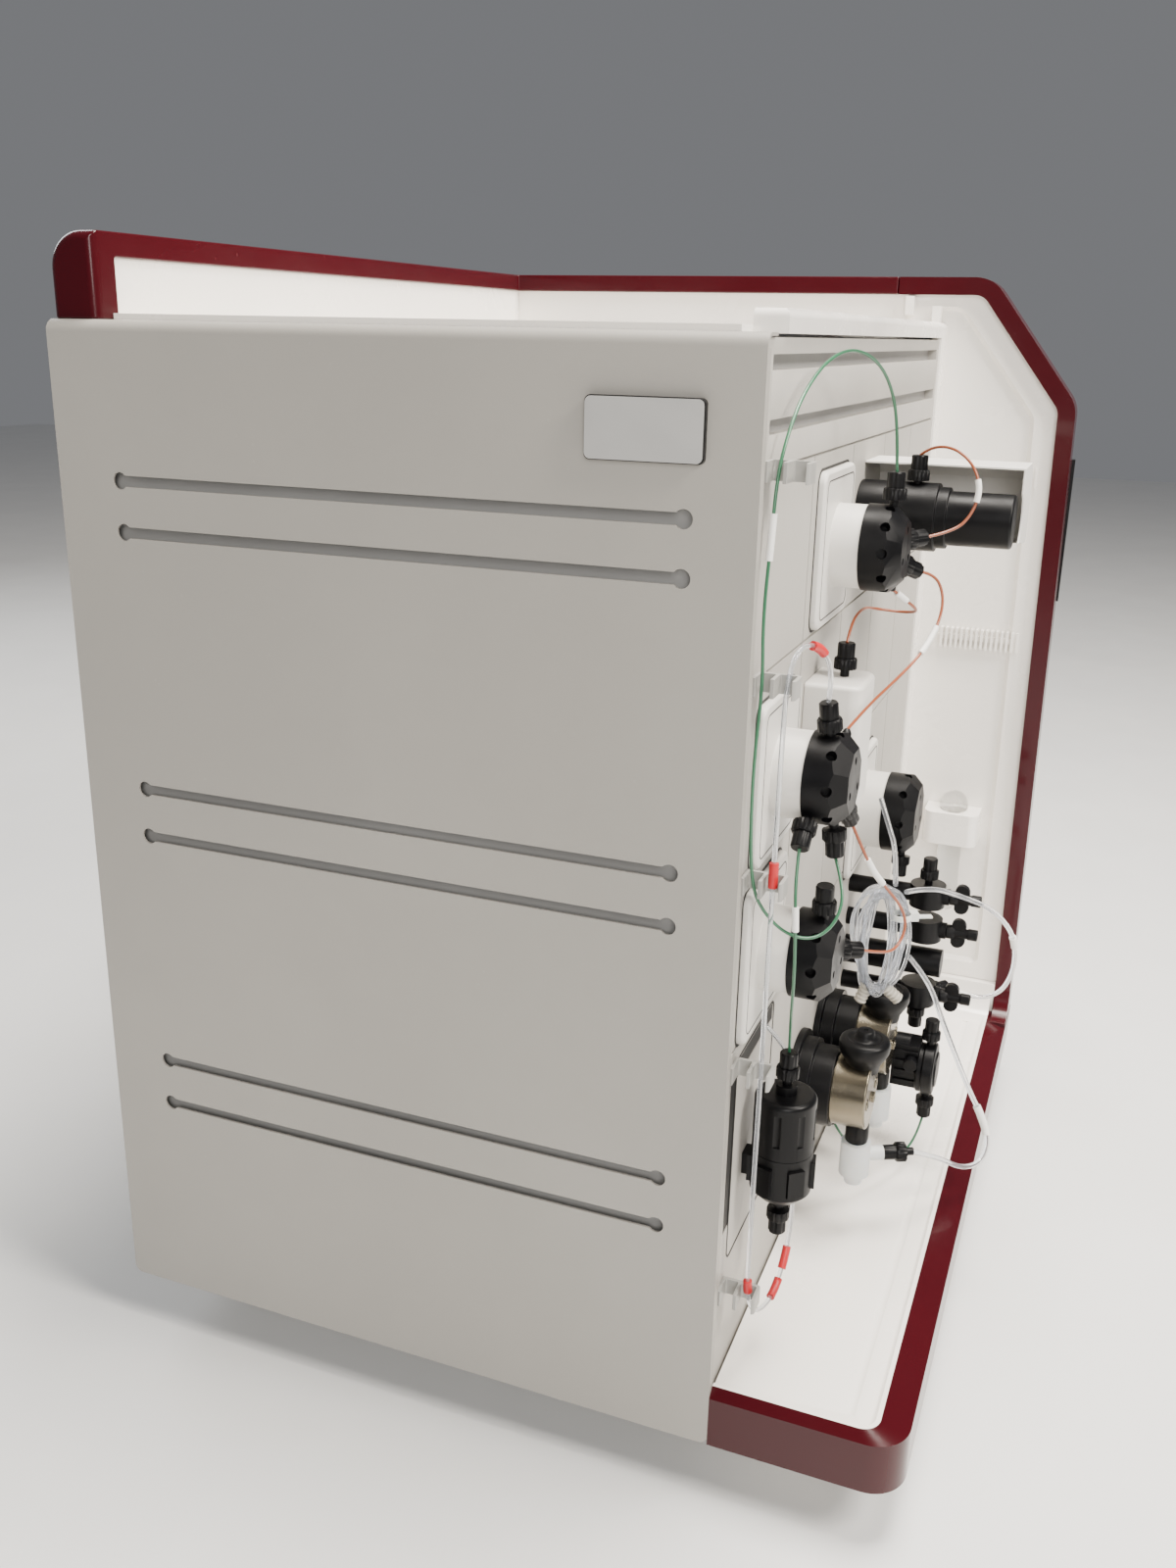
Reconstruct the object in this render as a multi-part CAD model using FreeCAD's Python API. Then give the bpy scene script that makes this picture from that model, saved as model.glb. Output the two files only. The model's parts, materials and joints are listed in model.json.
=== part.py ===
import FreeCAD, Part
import math
import os

V = FreeCAD.Vector

# Overall size, millimetres. Origin: middle of the footprint, on the table.
# +X right when facing the wet side, +Y to the rear, +Z up.
overall_width = 543.0
overall_depth = 476.0
overall_height = 630.0
tag_thickness = 4.0
left_side = -overall_width / 2 + tag_thickness
right_side = overall_width / 2
tray_reach = 110.0
rim_height = 41.0
cabinet_front = tray_reach - overall_depth / 2
cabinet_rear = overall_depth / 2
cabinet_base = 33.0
cabinet_top = overall_height - rim_height

# Folded side cover
sheet = 1.5
cover_bend = 6.0
cover_flange = 16.0
cover_lip = 6.0
cover_corner = 5.0
slot_width = 5.5
slot_end_hole = 4.3
slot_front_end = cabinet_front + 33.0
slot_rear_end = cabinet_rear - 37.5
slot_drops = (76.7, 102.3, 239.1, 265.8, 402.5, 429.8)
slot_heights = [cabinet_top - drop for drop in slot_drops]

# Wet side panel and chassis
panel_front = cabinet_front + 1.5
panel_thickness = 6.0
panel_left = left_side + sheet + 6.0
panel_bottom = 58.0
panel_top = cabinet_top - 2.0
vent_heights = (cabinet_top - 12.0, cabinet_top - 38.5)
vent_width = 6.5
vent_margin = 8.0
module_pitch = 92.0
module_width = 96.0
module_top = cabinet_top - 56.0
seam_width = 1.4
seam_depth = 1.6
cable_slot_left = 15.0
cable_slot_length = 73.0
cable_slot_top = 246.0
cable_slot_height = 10.0
cable_door_left = 7.0
cable_door_width = 10.0
cable_door_bottom = 152.0
chassis_gap = 6.0

# White moulded surround
skin_thickness = 9.5
wall_thickness = 20.0
trim_overlap = 6.0
column_width = 20.0
wall_skin = right_side - skin_thickness
wall_inner = wall_skin - wall_thickness
trim_inner = wall_inner - trim_overlap
panel_right = wall_inner - column_width
trim_band = 12.0
wall_recess = 4.0
wall_border = 28.0
chamfer_top = (80.0 - overall_depth / 2, overall_height)
chamfer_low = (14.0 - overall_depth / 2, overall_height - 85.0)
wall_foot = (9.0 - overall_depth / 2, cabinet_base)
corner_radius = 24.0
rear_round = 18.0
trim_seam = chamfer_top[0] + 66.0
column_left = panel_right + 0.6
bar_bottom = cabinet_top - 0.5
bar_top = cabinet_top + 10.0
bar_depth = 16.0
bar_seam = 60.0
hook_reach = 9.0
hook_thickness = 6.0
hook_setback = 24.0
hook_rise = 15.0
hook_height = 13.0
bar_hook_left = panel_right + 4.0
comb_length = 60.0
comb_height = 15.0
comb_teeth = 16
comb_heights = (cabinet_top - 219.0, cabinet_top - 97.0)
comb_front = wall_foot[0] + 26.0

# Top tray
rear_wall = 28.0
rear_trim_drop = 21.0
rear_trim_wall = 6.0
top_floor = cabinet_top + 3.0
post_left = left_side + 5.5
post_width = 16.0
post_radius = 5.0

# Drip tray
tray_floor = 64.0
tray_rim = 66.5
rim_edge = 62.5
tray_front = wall_foot[0]
tray_left_rim = 5.5
tray_front_rim = 15.0
tray_corner = 20.0
tray_inner_corner = 10.0
tray_groove_front = tray_front + 27.0
tray_groove_width = 8.0
tray_groove_depth = 1.2
upstand_height = 90.0
bend_radius = 20.0

# Feet
foot_radius = 16.0
foot_inset = 42.0
foot_x = overall_width / 2 - 66.5
foot_front = foot_inset - overall_depth / 2
foot_rear = overall_depth / 2 - foot_inset

# Rotary valves: axis place on the panel (X, Z), head radius
valve_axes = ((-111.0, 484.0), (-208.0, 387.0), (-213.0, 297.0), (44.0, 290.0))
valve_radii = (22.5, 22.5, 22.5, 26.0)
valve_facets = (10, 8, 8, 8)
plate_width = 74.0
plate_height = 80.0
plate_thickness = 4.0
plate_corner = 7.0
base_length = 15.2
head_length = 20.8
facet_length = 11.0
port_radius = 2.6
port_depth = 6.0

# Tube nuts
nut_stem_radius = 2.4
nut_stem = 4.0
nut_collar_radius = 6.0
nut_collar = 6.0
nut_grip_radius = 4.6
nut_grip = 8.0
nut_length = nut_stem + nut_collar + nut_grip
ferrule_length = 5.0

# Detectors
uv_x = -32.0
uv_z = 492.0
uv_collar_radius = 19.0
uv_collar = 44.0
uv_radius = 15.0
uv_front = panel_front - 85.5
uv_cover_sheet = 1.2
uv_cover_right = 24.0
uv_cover_top = 521.0
uv_cover_bottom = 474.0
cond_left = -150.0
cond_width = 42.0
cond_depth = 30.0
cond_bottom = 352.0
cond_top = 418.0

# Pumps
pump_left_x = -97.0
pump_pitch = 70.0
pump_z = 160.0
pump_flange_radius = 31.0
pump_flange = 4.0
pump_body_radius = 24.0
pump_body = 21.0
pump_head_radius = 21.5
pump_head = 21.0
check_setback = 14.5
piston_radius = 4.0
piston_clearance = 0.05
piston_stroke = 4.0
check_radius = 15.0
check_height = 17.0
check_neck_radius = 8.0
inlet_radius = 7.0
inlet_height = 12.0
chamber_radius = 9.0
chamber_height = 22.0
port_reach = 17.0
port_stub_radius = 4.5

# Pressure monitor and purge valves
monitor_x = 8.0
monitor_y = panel_front - 66.5
monitor_bottom = 110.0
monitor_height = 35.0
monitor_width = 22.0
monitor_depth = 20.0
purge_x = 38.0
purge_y = panel_front - 51.5
purge_heights = (238.0, 214.0, 167.0)
purge_radius = 11.5
purge_height = 15.0
cell_height = 190.0
cell_radius = 9.5
knob_hub = 3.6
knob_length = 20.0
knob_span = 22.0
knob_blade = 9.0
knob_thickness = 5.0
knob_gap = 0.3
spindle_radius = 2.0
spindle_clearance = 0.05
spindle_depth = 5.0

# Mixer
mixer_x = -217.0
mixer_y = panel_front - 20.0
mixer_bottom = 160.0
mixer_split = 188.0
mixer_top = 220.0
mixer_radius = 16.0
mixer_neck = 5.0

# Tube clips on the panel's front edge
clip_heights = (533.0, 440.0, 345.0, 246.0, 118.0)
clip_x = panel_left + 8.0
clip_depth = 20.0
clip_height = 9.0
clip_width = 13.0
clip_wall = 1.8

# Rinse tube holder on the right wall
holder_y = cabinet_front - 41.0
holder_z = 222.0
holder_length = 42.0
holder_height = 26.0
holder_reach = 26.0
rinse_radius = 9.0
rinse_wall = 1.2
rinse_height = 92.0
rinse_clearance = 0.3

# Control strip on the outer right wall
strip_front = wall_foot[0] + 2.5
strip_width = 36.0
strip_corner = 2.0
strip_bottom = 400.0
strip_top = 505.0
strip_thickness = 6.0
well_floor = 1.0
button_y = strip_front + 21.0
button_gap = 0.3
button_radius = 7.5
button_travel = 1.0
button_clearance = 0.3
button_heights = (424.0, 452.5, 481.0)

# Rear
inlet_x = left_side + 77.5
inlet_z = 120.0
inlet_width = 48.0
rear_inlet_height = 28.0
inlet_reach = 12.0
rocker_x = inlet_x + 44.0
rocker_width = 13.0
rocker_height = 22.0
rocker_throw = 16.0
rocker_sink = 2.0
rocker_depth = 5.0
rocker_clearance = 0.4
rocker_frame = 3.0
rocker_pin_radius = 1.5
rocker_pin_reach = 1.8
rocker_pin_clearance = 0.05
fan_x = wall_inner - 122.0
fan_z = cabinet_top - 159.0
fan_radius = 42.0
fan_depth = 26.0
fan_hub = 14.0
fan_blades = 7
fan_pin_radius = 2.5
fan_pin_clearance = 0.05
grille_rings = 4
grille_bar = 3.0

# Asset plate on the side cover
tag_front = cabinet_front + 24.0
tag_length = 54.0
tag_bottom = cabinet_top - 53.5
tag_height = 27.0

# Tubes
fine_diameter = 1.6
soft_diameter = 3.2
inlet_diameter = 2.4
tube_gap = 0.3

# Tied hank of spare tube: upright racetrack ring
hank_centre = V(-55.0, -163.0, 240.0)
hank_across = V(0.361, -0.933, 0.0)
hank_bend = 14.0
hank_straight = 38.0
hank_radius = 4.5


def box(x0, x1, y0, y1, z0, z1):
    """A block between two corners."""
    return Part.makeBox(x1 - x0, y1 - y0, z1 - z0, V(x0, y0, z0))


def rod(start, direction, radius, length):
    """A cylinder from a start point along a direction."""
    return Part.makeCylinder(radius, length, start, direction)


def run_edges(points, radii, closed):
    """Straight runs between points, joined by tangent arcs of the given radii."""
    count = len(points)
    entries = []
    exits = []
    middles = []
    for index, corner in enumerate(points):
        radius = radii[index]
        inner = closed or 0 < index < count - 1
        if radius <= 0 or not inner:
            entries.append(corner)
            exits.append(corner)
            middles.append(None)
            continue
        back = (points[index - 1] - corner).normalize()
        ahead = (points[(index + 1) % count] - corner).normalize()
        half = back.getAngle(ahead) / 2
        cut = radius / math.tan(half)
        inward = (back + ahead).normalize()
        centre = corner + inward * (radius / math.sin(half))
        entries.append(corner + back * cut)
        exits.append(corner + ahead * cut)
        middles.append(centre - inward * radius)
    edges = []
    for index in range(count):
        if middles[index] is not None:
            edges.append(Part.Arc(entries[index], middles[index], exits[index]).toShape())
        following = (index + 1) % count
        if following == 0 and not closed:
            continue
        if exits[index].distanceToPoint(entries[following]) > 1e-6:
            edges.append(Part.LineSegment(exits[index], entries[following]).toShape())
    return edges


def prism(points, radii, direction):
    """A closed outline with rounded corners, pushed along a direction."""
    if not hasattr(radii, "__len__"):
        radii = [radii] * len(points)
    wire = Part.Wire(run_edges(points, radii, True))
    return Part.Face(wire).extrude(direction)


def prism_x(outline, radii, x0, x1):
    """An outline in (Y, Z) between two X positions."""
    return prism([V(x0, y, z) for y, z in outline], radii, V(x1 - x0, 0, 0))


def prism_y(outline, radii, y0, y1):
    """An outline in (X, Z) between two Y positions."""
    return prism([V(x, y0, z) for x, z in outline], radii, V(0, y1 - y0, 0))


def prism_z(outline, radii, z0, z1):
    """An outline in (X, Y) between two Z positions."""
    return prism([V(x, y, z0) for x, y in outline], radii, V(0, 0, z1 - z0))


def rectangle(low_a, high_a, low_b, high_b):
    """The four corners of a rectangle, anticlockwise."""
    return [(low_a, low_b), (high_a, low_b), (high_a, high_b), (low_a, high_b)]


def inset(outline, distances):
    """Moves each edge of an anticlockwise outline inwards by its own distance."""
    count = len(outline)
    lines = []
    for index in range(count):
        a0, b0 = outline[index]
        a1, b1 = outline[(index + 1) % count]
        length = math.hypot(a1 - a0, b1 - b0)
        normal = (-(b1 - b0) / length, (a1 - a0) / length)
        reach = normal[0] * a0 + normal[1] * b0 + distances[index]
        lines.append((normal[0], normal[1], reach))
    moved = []
    for index in range(count):
        a, b, c = lines[index - 1]
        d, e, f = lines[index]
        determinant = a * e - b * d
        moved.append(((c * e - b * f) / determinant, (a * f - c * d) / determinant))
    return moved


def fuse_all(shapes):
    """One solid from shapes that touch or overlap."""
    return shapes[0].multiFuse(shapes[1:]).removeSplitter()


def side_cover():
    """Folded sheet: side, top flange with a round bend, front and rear lips, six slots."""
    inner = left_side + sheet
    bent = prism_y(
        [
            (left_side, cabinet_base),
            (left_side, cabinet_top),
            (left_side + cover_flange, cabinet_top),
            (left_side + cover_flange, cabinet_top - sheet),
            (inner, cabinet_top - sheet),
            (inner, cabinet_base),
        ],
        [0, cover_bend, 0, 0, cover_bend - sheet, 0],
        cabinet_front,
        cabinet_rear,
    )
    lip_height = cabinet_top - cover_bend
    front_lip = box(
        left_side, left_side + cover_lip, cabinet_front, cabinet_front + sheet, cabinet_base, lip_height
    )
    rear_lip = box(
        left_side, left_side + cover_lip, cabinet_rear - sheet, cabinet_rear, cabinet_base, lip_height
    )
    cover = fuse_all([bent, front_lip, rear_lip])
    profile = rectangle(cabinet_front, cabinet_rear, cabinet_base, cabinet_top)
    rounded = prism_x(profile, [cover_corner, cover_corner, 0, 0], left_side - 1, left_side + cover_flange + 1)
    cover = cover.common(rounded)
    cuts = []
    for height in slot_heights:
        low = height - slot_width / 2
        cuts.append(
            box(left_side - 1, inner + 1, slot_front_end, slot_rear_end, low, low + slot_width)
        )
        for end in (slot_front_end, slot_rear_end):
            cuts.append(rod(V(left_side - 1, end, height), V(1, 0, 0), slot_end_hole, sheet + 2))
    return cover.cut(cuts)


def switch_opening():
    """The cut-out for the power switch: X and Z limits of its frame."""
    half_width = rocker_width / 2 + rocker_clearance + rocker_frame
    half_height = rocker_height / 2 + rocker_clearance + rocker_frame
    return rocker_x - half_width, rocker_x + half_width, inlet_z - half_height, inlet_z + half_height


def inlet_opening():
    """The cut-out for the mains inlet: X and Z limits."""
    half_width = inlet_width / 2
    half_height = rear_inlet_height / 2
    return inlet_x - half_width, inlet_x + half_width, inlet_z - half_height, inlet_z + half_height


def chassis():
    """Closed inner housing behind the wet side, with bays for fan, inlet and switch."""
    rear = cabinet_rear - sheet
    body = box(
        left_side + sheet + chassis_gap,
        wall_inner,
        panel_front + panel_thickness,
        rear,
        cabinet_base,
        cabinet_top - sheet,
    )
    bay = rod(V(fan_x, rear + 1, fan_z), V(0, -1, 0), fan_radius + 3, fan_depth + 11)
    pin = rod(V(fan_x, rear - fan_depth - 10, fan_z), V(0, 1, 0), fan_pin_radius, fan_depth)
    rooms = [bay]
    for x0, x1, z0, z1 in (switch_opening(), inlet_opening()):
        rooms.append(box(x0, x1, cabinet_rear - inlet_reach, rear + 1, z0, z1))
    return body.cut(rooms).fuse(pin)


def rear_cover():
    """Rear sheet with the fan grille and the cut-outs for inlet and switch."""
    plate = prism_y(
        rectangle(left_side + cover_lip + 0.5, wall_inner - 0.3, cabinet_base + 1, cabinet_top - 3),
        3.0,
        cabinet_rear - sheet,
        cabinet_rear,
    )
    rings = []
    pitch = (fan_radius - fan_hub) / grille_rings
    for ring in range(grille_rings):
        inner = fan_hub + ring * pitch + grille_bar / 2
        outer = fan_hub + (ring + 1) * pitch - grille_bar / 2
        start = V(fan_x, cabinet_rear - sheet - 1, fan_z)
        rings.append(
            rod(start, V(0, 1, 0), outer, sheet + 2).cut(rod(start, V(0, 1, 0), inner, sheet + 2))
        )
    spokes = []
    for angle in (45, 135):
        spoke = box(
            fan_x - fan_radius, fan_x + fan_radius, cabinet_rear - sheet - 2, cabinet_rear + 2,
            fan_z - grille_bar / 2, fan_z + grille_bar / 2,
        )
        spoke.rotate(V(fan_x, 0, fan_z), V(0, 1, 0), angle)
        spokes.append(spoke)
    openings = [ring.cut(spokes) for ring in rings]
    for x0, x1, z0, z1 in (switch_opening(), inlet_opening()):
        openings.append(box(x0, x1, cabinet_rear - 5, cabinet_rear + 5, z0, z1))
    return plate.cut(openings)


def feet():
    """Four round feet, two under the drip tray and two under the cabinet's rear."""
    shapes = []
    for x in (-foot_x, foot_x):
        shapes.append(rod(V(x, foot_front, 0), V(0, 0, 1), foot_radius, cabinet_base + 3))
        shapes.append(rod(V(x, foot_rear, 0), V(0, 0, 1), foot_radius, cabinet_base))
    rounded = []
    for shape in shapes:
        bottom = [edge for edge in shape.Edges if edge.BoundBox.ZMax < 0.1]
        rounded.append(shape.makeChamfer(2.0, bottom))
    return Part.makeCompound(rounded)


def wall_outline():
    """The right wall seen from the side, anticlockwise in (Y, Z)."""
    return [
        (cabinet_rear, cabinet_base),
        (cabinet_rear, overall_height),
        chamfer_top,
        chamfer_low,
        wall_foot,
    ]


def wall_prism(margin, radius, x0, x1):
    """The wall's outline, moved inwards along its top, chamfer and front."""
    outline = inset(wall_outline(), [0, margin, margin, margin, 0])
    return prism_x(outline, [0, rear_round - margin, radius, radius, 0], x0, x1)


def trim_band_solid(x0, x1, outer_margin):
    """The band that the trim strip fills along the wall's top, chamfer and front."""
    outer = wall_prism(outer_margin, corner_radius, x0, x1)
    inner = wall_prism(trim_band, corner_radius - trim_band, x0 - 1, x1 + 1)
    return outer.cut(inner)


def tooth_comb(height):
    """A comb of short ribs on the wall's inner face, which holds tubes."""
    teeth = []
    pitch = comb_length / comb_teeth
    base = wall_inner + wall_recess
    for index in range(comb_teeth):
        start = comb_front + index * pitch
        teeth.append(
            box(base - 6, base + 1, start, start + pitch * 0.5, height - comb_height / 2, height + comb_height / 2)
        )
    teeth.append(
        box(base - 2.5, base + 1, comb_front, comb_front + comb_length, height - 2, height + 2)
    )
    return teeth


def strip_zone():
    """Room in the wall's outer face that the control strip fills."""
    return box(
        right_side - strip_thickness, right_side + 1, strip_front - 5, strip_front + strip_width,
        strip_bottom, strip_top,
    )


def right_wall():
    """Moulded right wall: recessed inner face, front column, top bar, combs and hooks."""
    body = wall_prism(0.8, corner_radius - 0.8, wall_inner, right_side)
    body = body.cut(trim_band_solid(trim_inner - 1, wall_skin, -1))
    tray_zone = box(0, wall_skin, tray_front - 5, cabinet_front, cabinet_base - 1, upstand_height)
    body = body.cut([tray_zone, strip_zone(), rear_rail(0.0)])
    border = wall_border
    pocket_outline = inset(wall_outline(), [cabinet_rear - cabinet_front - 12, 20, border, border, 70])
    pocket = prism_x(pocket_outline, [0, 6, 12, 12, 6], wall_inner - 1, wall_inner + wall_recess)
    floor_edges = [
        edge for edge in pocket.Edges if edge.BoundBox.XMin > wall_inner + wall_recess - 0.01
    ]
    pocket = pocket.makeChamfer(3.0, floor_edges)
    body = body.cut(pocket)
    column_depth = panel_front + panel_thickness - cabinet_front
    column = box(
        column_left, wall_inner + 6, cabinet_front, cabinet_front + column_depth, upstand_height, bar_top
    )
    bar = box(bar_seam, wall_inner + 6, cabinet_front, cabinet_front + bar_depth, bar_bottom, bar_top)
    post = column.fuse(bar).removeSplitter()
    top_edges = [
        edge
        for edge in post.Edges
        if edge.BoundBox.ZMin > bar_top - 0.1 and edge.BoundBox.YMax < cabinet_front + 0.1
    ]
    post = post.makeFillet(4.0, top_edges)
    pieces = [body, post]
    for height in comb_heights:
        pieces.extend(tooth_comb(height))
    hook_base = wall_inner + 2
    hook_front = cabinet_front + hook_setback
    hook_low = cabinet_top + hook_rise
    pieces.append(
        box(
            hook_base - hook_reach, hook_base, hook_front, hook_front + hook_thickness,
            hook_low, hook_low + hook_height,
        )
    )
    pieces.append(
        box(
            bar_hook_left, bar_hook_left + hook_thickness, cabinet_front + 3, cabinet_front + 3 + hook_thickness,
            bar_top - 2, bar_top - 2 + hook_height,
        )
    )
    return fuse_all(pieces)


def skirt_outline(left_margin, front_margin, corner, height):
    """Outline of the tray's trim seen from above, moved inwards, as a wire."""
    corners = rectangle(
        left_side + left_margin, wall_skin, tray_front + front_margin, cabinet_front
    )
    points = [V(x, y, height) for x, y in corners]
    return Part.Wire(run_edges(points, [corner, 0, 0, 0], True))


def front_trim():
    """Dark strip round the drip tray's front, up the wall's front, chamfer and top."""
    band = trim_band_solid(trim_inner, wall_skin, 0)
    keep = box(
        trim_inner - 1, wall_skin + 1, tray_front - 10, trim_seam - 0.3, rim_edge - 4, overall_height + 1
    )
    band = band.common(keep)
    band_rear = tray_front + trim_band
    outer_low = skirt_outline(0, 0, tray_corner, cabinet_base)
    skirt = Part.Face(outer_low).extrude(V(0, 0, rim_edge - cabinet_base))
    bevel = Part.makeLoft(
        [
            skirt_outline(0, 0, tray_corner, rim_edge),
            skirt_outline(tray_left_rim, tray_front_rim, tray_inner_corner, tray_rim),
        ],
        True,
        True,
    )
    hollow = Part.Face(
        skirt_outline(tray_left_rim, tray_front_rim, tray_inner_corner, cabinet_base - 1)
    ).extrude(V(0, 0, tray_rim - cabinet_base + 2))
    skirt = skirt.fuse(bevel).cut(hollow)
    rear_room = box(
        trim_inner, wall_skin + 1, band_rear, cabinet_front + 1, cabinet_base - 1, tray_rim + 1
    )
    skirt = skirt.cut(rear_room)
    elbow = box(
        trim_inner - bend_radius, trim_inner + 1, tray_front + 0.4, band_rear, rim_edge - 2, tray_rim + bend_radius
    )
    scoop = rod(
        V(trim_inner - bend_radius, tray_front - 1, tray_rim + bend_radius), V(0, 1, 0), bend_radius, 30
    )
    return fuse_all([band, skirt, elbow.cut(scoop)])


def rear_rail(clearance):
    """The rail along the rear rim: flat top, rounded at the rear, with a lip down the back."""
    front = cabinet_rear - rear_wall
    low = overall_height - trim_band - clearance
    lip = overall_height - rear_trim_drop - clearance
    return prism_x(
        [
            (front - clearance, low),
            (front - clearance, overall_height),
            (cabinet_rear, overall_height),
            (cabinet_rear, lip),
            (cabinet_rear - rear_trim_wall, lip),
            (cabinet_rear - rear_trim_wall, low),
        ],
        [0, 0, rear_round, 0, 0, 0],
        post_left + post_width - 1,
        wall_skin,
    )


def top_trim():
    """Dark strip along the wall's top behind the seam, the rear rim and its left end."""
    side = trim_band_solid(trim_inner, wall_skin, 0)
    side = side.common(
        box(trim_inner - 1, wall_skin + 1, trim_seam + 0.3, cabinet_rear, overall_height - 30, overall_height + 1)
    )
    front = cabinet_rear - rear_wall
    post = prism_x(
        [(front, cabinet_top), (front, overall_height), (cabinet_rear, overall_height), (cabinet_rear, cabinet_top)],
        [0, 0, rear_round, 0],
        post_left,
        post_left + post_width,
    )
    ends = [
        edge
        for edge in post.Edges
        if edge.BoundBox.XMax < post_left + 0.1 and edge.BoundBox.YMax < cabinet_rear - 1
        and edge.BoundBox.ZMax > cabinet_top + 1
    ]
    post = post.makeFillet(post_radius, ends)
    return fuse_all([side, rear_rail(0.0), post])


def top_tray():
    """White tray on top: floor, raised rear wall and the rounded bar over the wet side."""
    floor = box(
        left_side + cover_flange + 0.5, wall_inner - 0.3, cabinet_front + bar_depth, cabinet_rear,
        cabinet_top - sheet, top_floor,
    )
    rear = box(
        post_left + post_width, wall_inner - 0.3, cabinet_rear - rear_wall + 2, cabinet_rear,
        cabinet_top, overall_height - trim_band,
    )
    bar = box(left_side + 34, bar_seam - 0.5, cabinet_front, cabinet_front + bar_depth, bar_bottom, bar_top)
    round_edges = [
        edge
        for edge in bar.Edges
        if edge.BoundBox.ZMin > bar_top - 0.1
        and (edge.BoundBox.YMax < cabinet_front + 0.1 or edge.BoundBox.XMax < left_side + 35)
    ]
    bar = bar.makeFillet(4.0, round_edges)
    post_room = box(
        post_left - 1, post_left + post_width, cabinet_rear - rear_wall - 0.3, cabinet_rear + 1,
        cabinet_top, overall_height,
    )
    return fuse_all([floor, rear, bar]).cut([post_room, rear_rail(0.0)])


def drip_tray():
    """White tray in front: nearly flat floor with a groove, upstand at the right."""
    left = left_side + tray_left_rim
    front = tray_front + tray_front_rim
    body = prism_z(
        rectangle(left, wall_skin, front, cabinet_front), [tray_inner_corner, 0, 0, 0],
        cabinet_base + 3, tray_rim,
    )
    lip = 2.5
    hollow = prism_z(
        rectangle(left + lip, wall_skin + 5, front + lip, cabinet_front + 5),
        [tray_inner_corner - lip, 0, 0, 0],
        tray_floor,
        tray_rim + 5,
    )
    body = body.cut(hollow)
    low_half = tray_groove_width / 2
    groove = prism_x(
        [
            (tray_groove_front, tray_floor + 0.5),
            (tray_groove_front + low_half, tray_floor - tray_groove_depth),
            (tray_groove_front + tray_groove_width, tray_floor + 0.5),
        ],
        [0, 6.0, 0],
        left + 10,
        trim_inner - bend_radius - 2,
    )
    body = body.cut(groove)
    band_rear = tray_front + trim_band
    upstand = box(
        trim_inner, wall_skin, band_rear + 0.8, cabinet_front, tray_floor - 2, upstand_height - 0.4
    )
    corner = box(
        trim_inner - bend_radius, trim_inner + 1, front, cabinet_front,
        tray_floor - 1, tray_floor + bend_radius,
    )
    scoop = rod(
        V(trim_inner - bend_radius, front - 1, tray_floor + bend_radius), V(0, 1, 0),
        bend_radius, cabinet_front - front + 1,
    )
    return fuse_all([body, upstand, corner.cut(scoop)])


def wet_panel():
    """Front panel with two vent slots, module seams and the dark cable openings."""
    panel = prism_y(
        rectangle(panel_left, panel_right, panel_bottom, panel_top),
        2.0,
        panel_front,
        panel_front + panel_thickness,
    )
    cuts = []
    for height in vent_heights:
        cuts.append(
            box(
                panel_left + vent_margin, panel_right - vent_margin,
                panel_front - 1, panel_front + panel_thickness + 1,
                height - vent_width / 2, height + vent_width / 2,
            )
        )
    for row in range(4):
        height = module_top - row * module_pitch
        cuts.append(
            box(
                panel_left - 1, panel_right + 1, panel_front - 1, panel_front + seam_depth,
                height - seam_width / 2, height + seam_width / 2,
            )
        )
    for column in range(1, 5):
        place = panel_left + 4 + column * module_width
        cuts.append(
            box(
                place - seam_width / 2, place + seam_width / 2, panel_front - 1, panel_front + seam_depth,
                module_top - 3 * module_pitch, module_top,
            )
        )
    slot = panel_left + cable_slot_left
    door = panel_left + cable_door_left
    slot_bottom = cable_slot_top - cable_slot_height
    cuts.append(
        box(
            slot, slot + cable_slot_length, panel_front - 1, panel_front + panel_thickness + 1,
            slot_bottom, cable_slot_top,
        )
    )
    cuts.append(
        box(
            door, door + cable_door_width, panel_front - 1, panel_front + panel_thickness + 1,
            cable_door_bottom, slot_bottom + 2,
        )
    )
    return panel.cut(cuts)


def valve_base(axis):
    """Module plate with rounded corners and the round seat of the valve head."""
    x, z = axis
    plate = prism_y(
        rectangle(x - plate_width / 2, x + plate_width / 2, z - plate_height / 2, z + plate_height / 2),
        plate_corner,
        panel_front - plate_thickness,
        panel_front,
    )
    rim = [
        edge for edge in plate.Edges if edge.BoundBox.YMax < panel_front - plate_thickness + 0.1
    ]
    plate = plate.makeChamfer(1.2, rim)
    return plate


def valve_seat_front():
    """Y of the face that the valve heads sit on."""
    return panel_front - plate_thickness - base_length


def valve_base_solid(axis, radius):
    """Plate and round seat as one moulding."""
    x, z = axis
    seat = rod(V(x, panel_front - plate_thickness + 1, z), V(0, -1, 0), radius, base_length + 1)
    return valve_base(axis).fuse(seat).removeSplitter()


def port_directions(count, first):
    """Radial directions of a head's ports, in the XZ plane."""
    return [
        V(math.cos(math.radians(first + 360.0 * index / count)), 0,
          math.sin(math.radians(first + 360.0 * index / count)))
        for index in range(count)
    ]


def polygon_wire(x, y, z, radius, count, first):
    """A regular polygon square to the Y axis."""
    corners = []
    for index in range(count):
        angle = math.radians(first + 360.0 * index / count)
        corners.append(V(x + radius * math.cos(angle), y, z + radius * math.sin(angle)))
    return Part.makePolygon(corners + [corners[0]])


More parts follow.
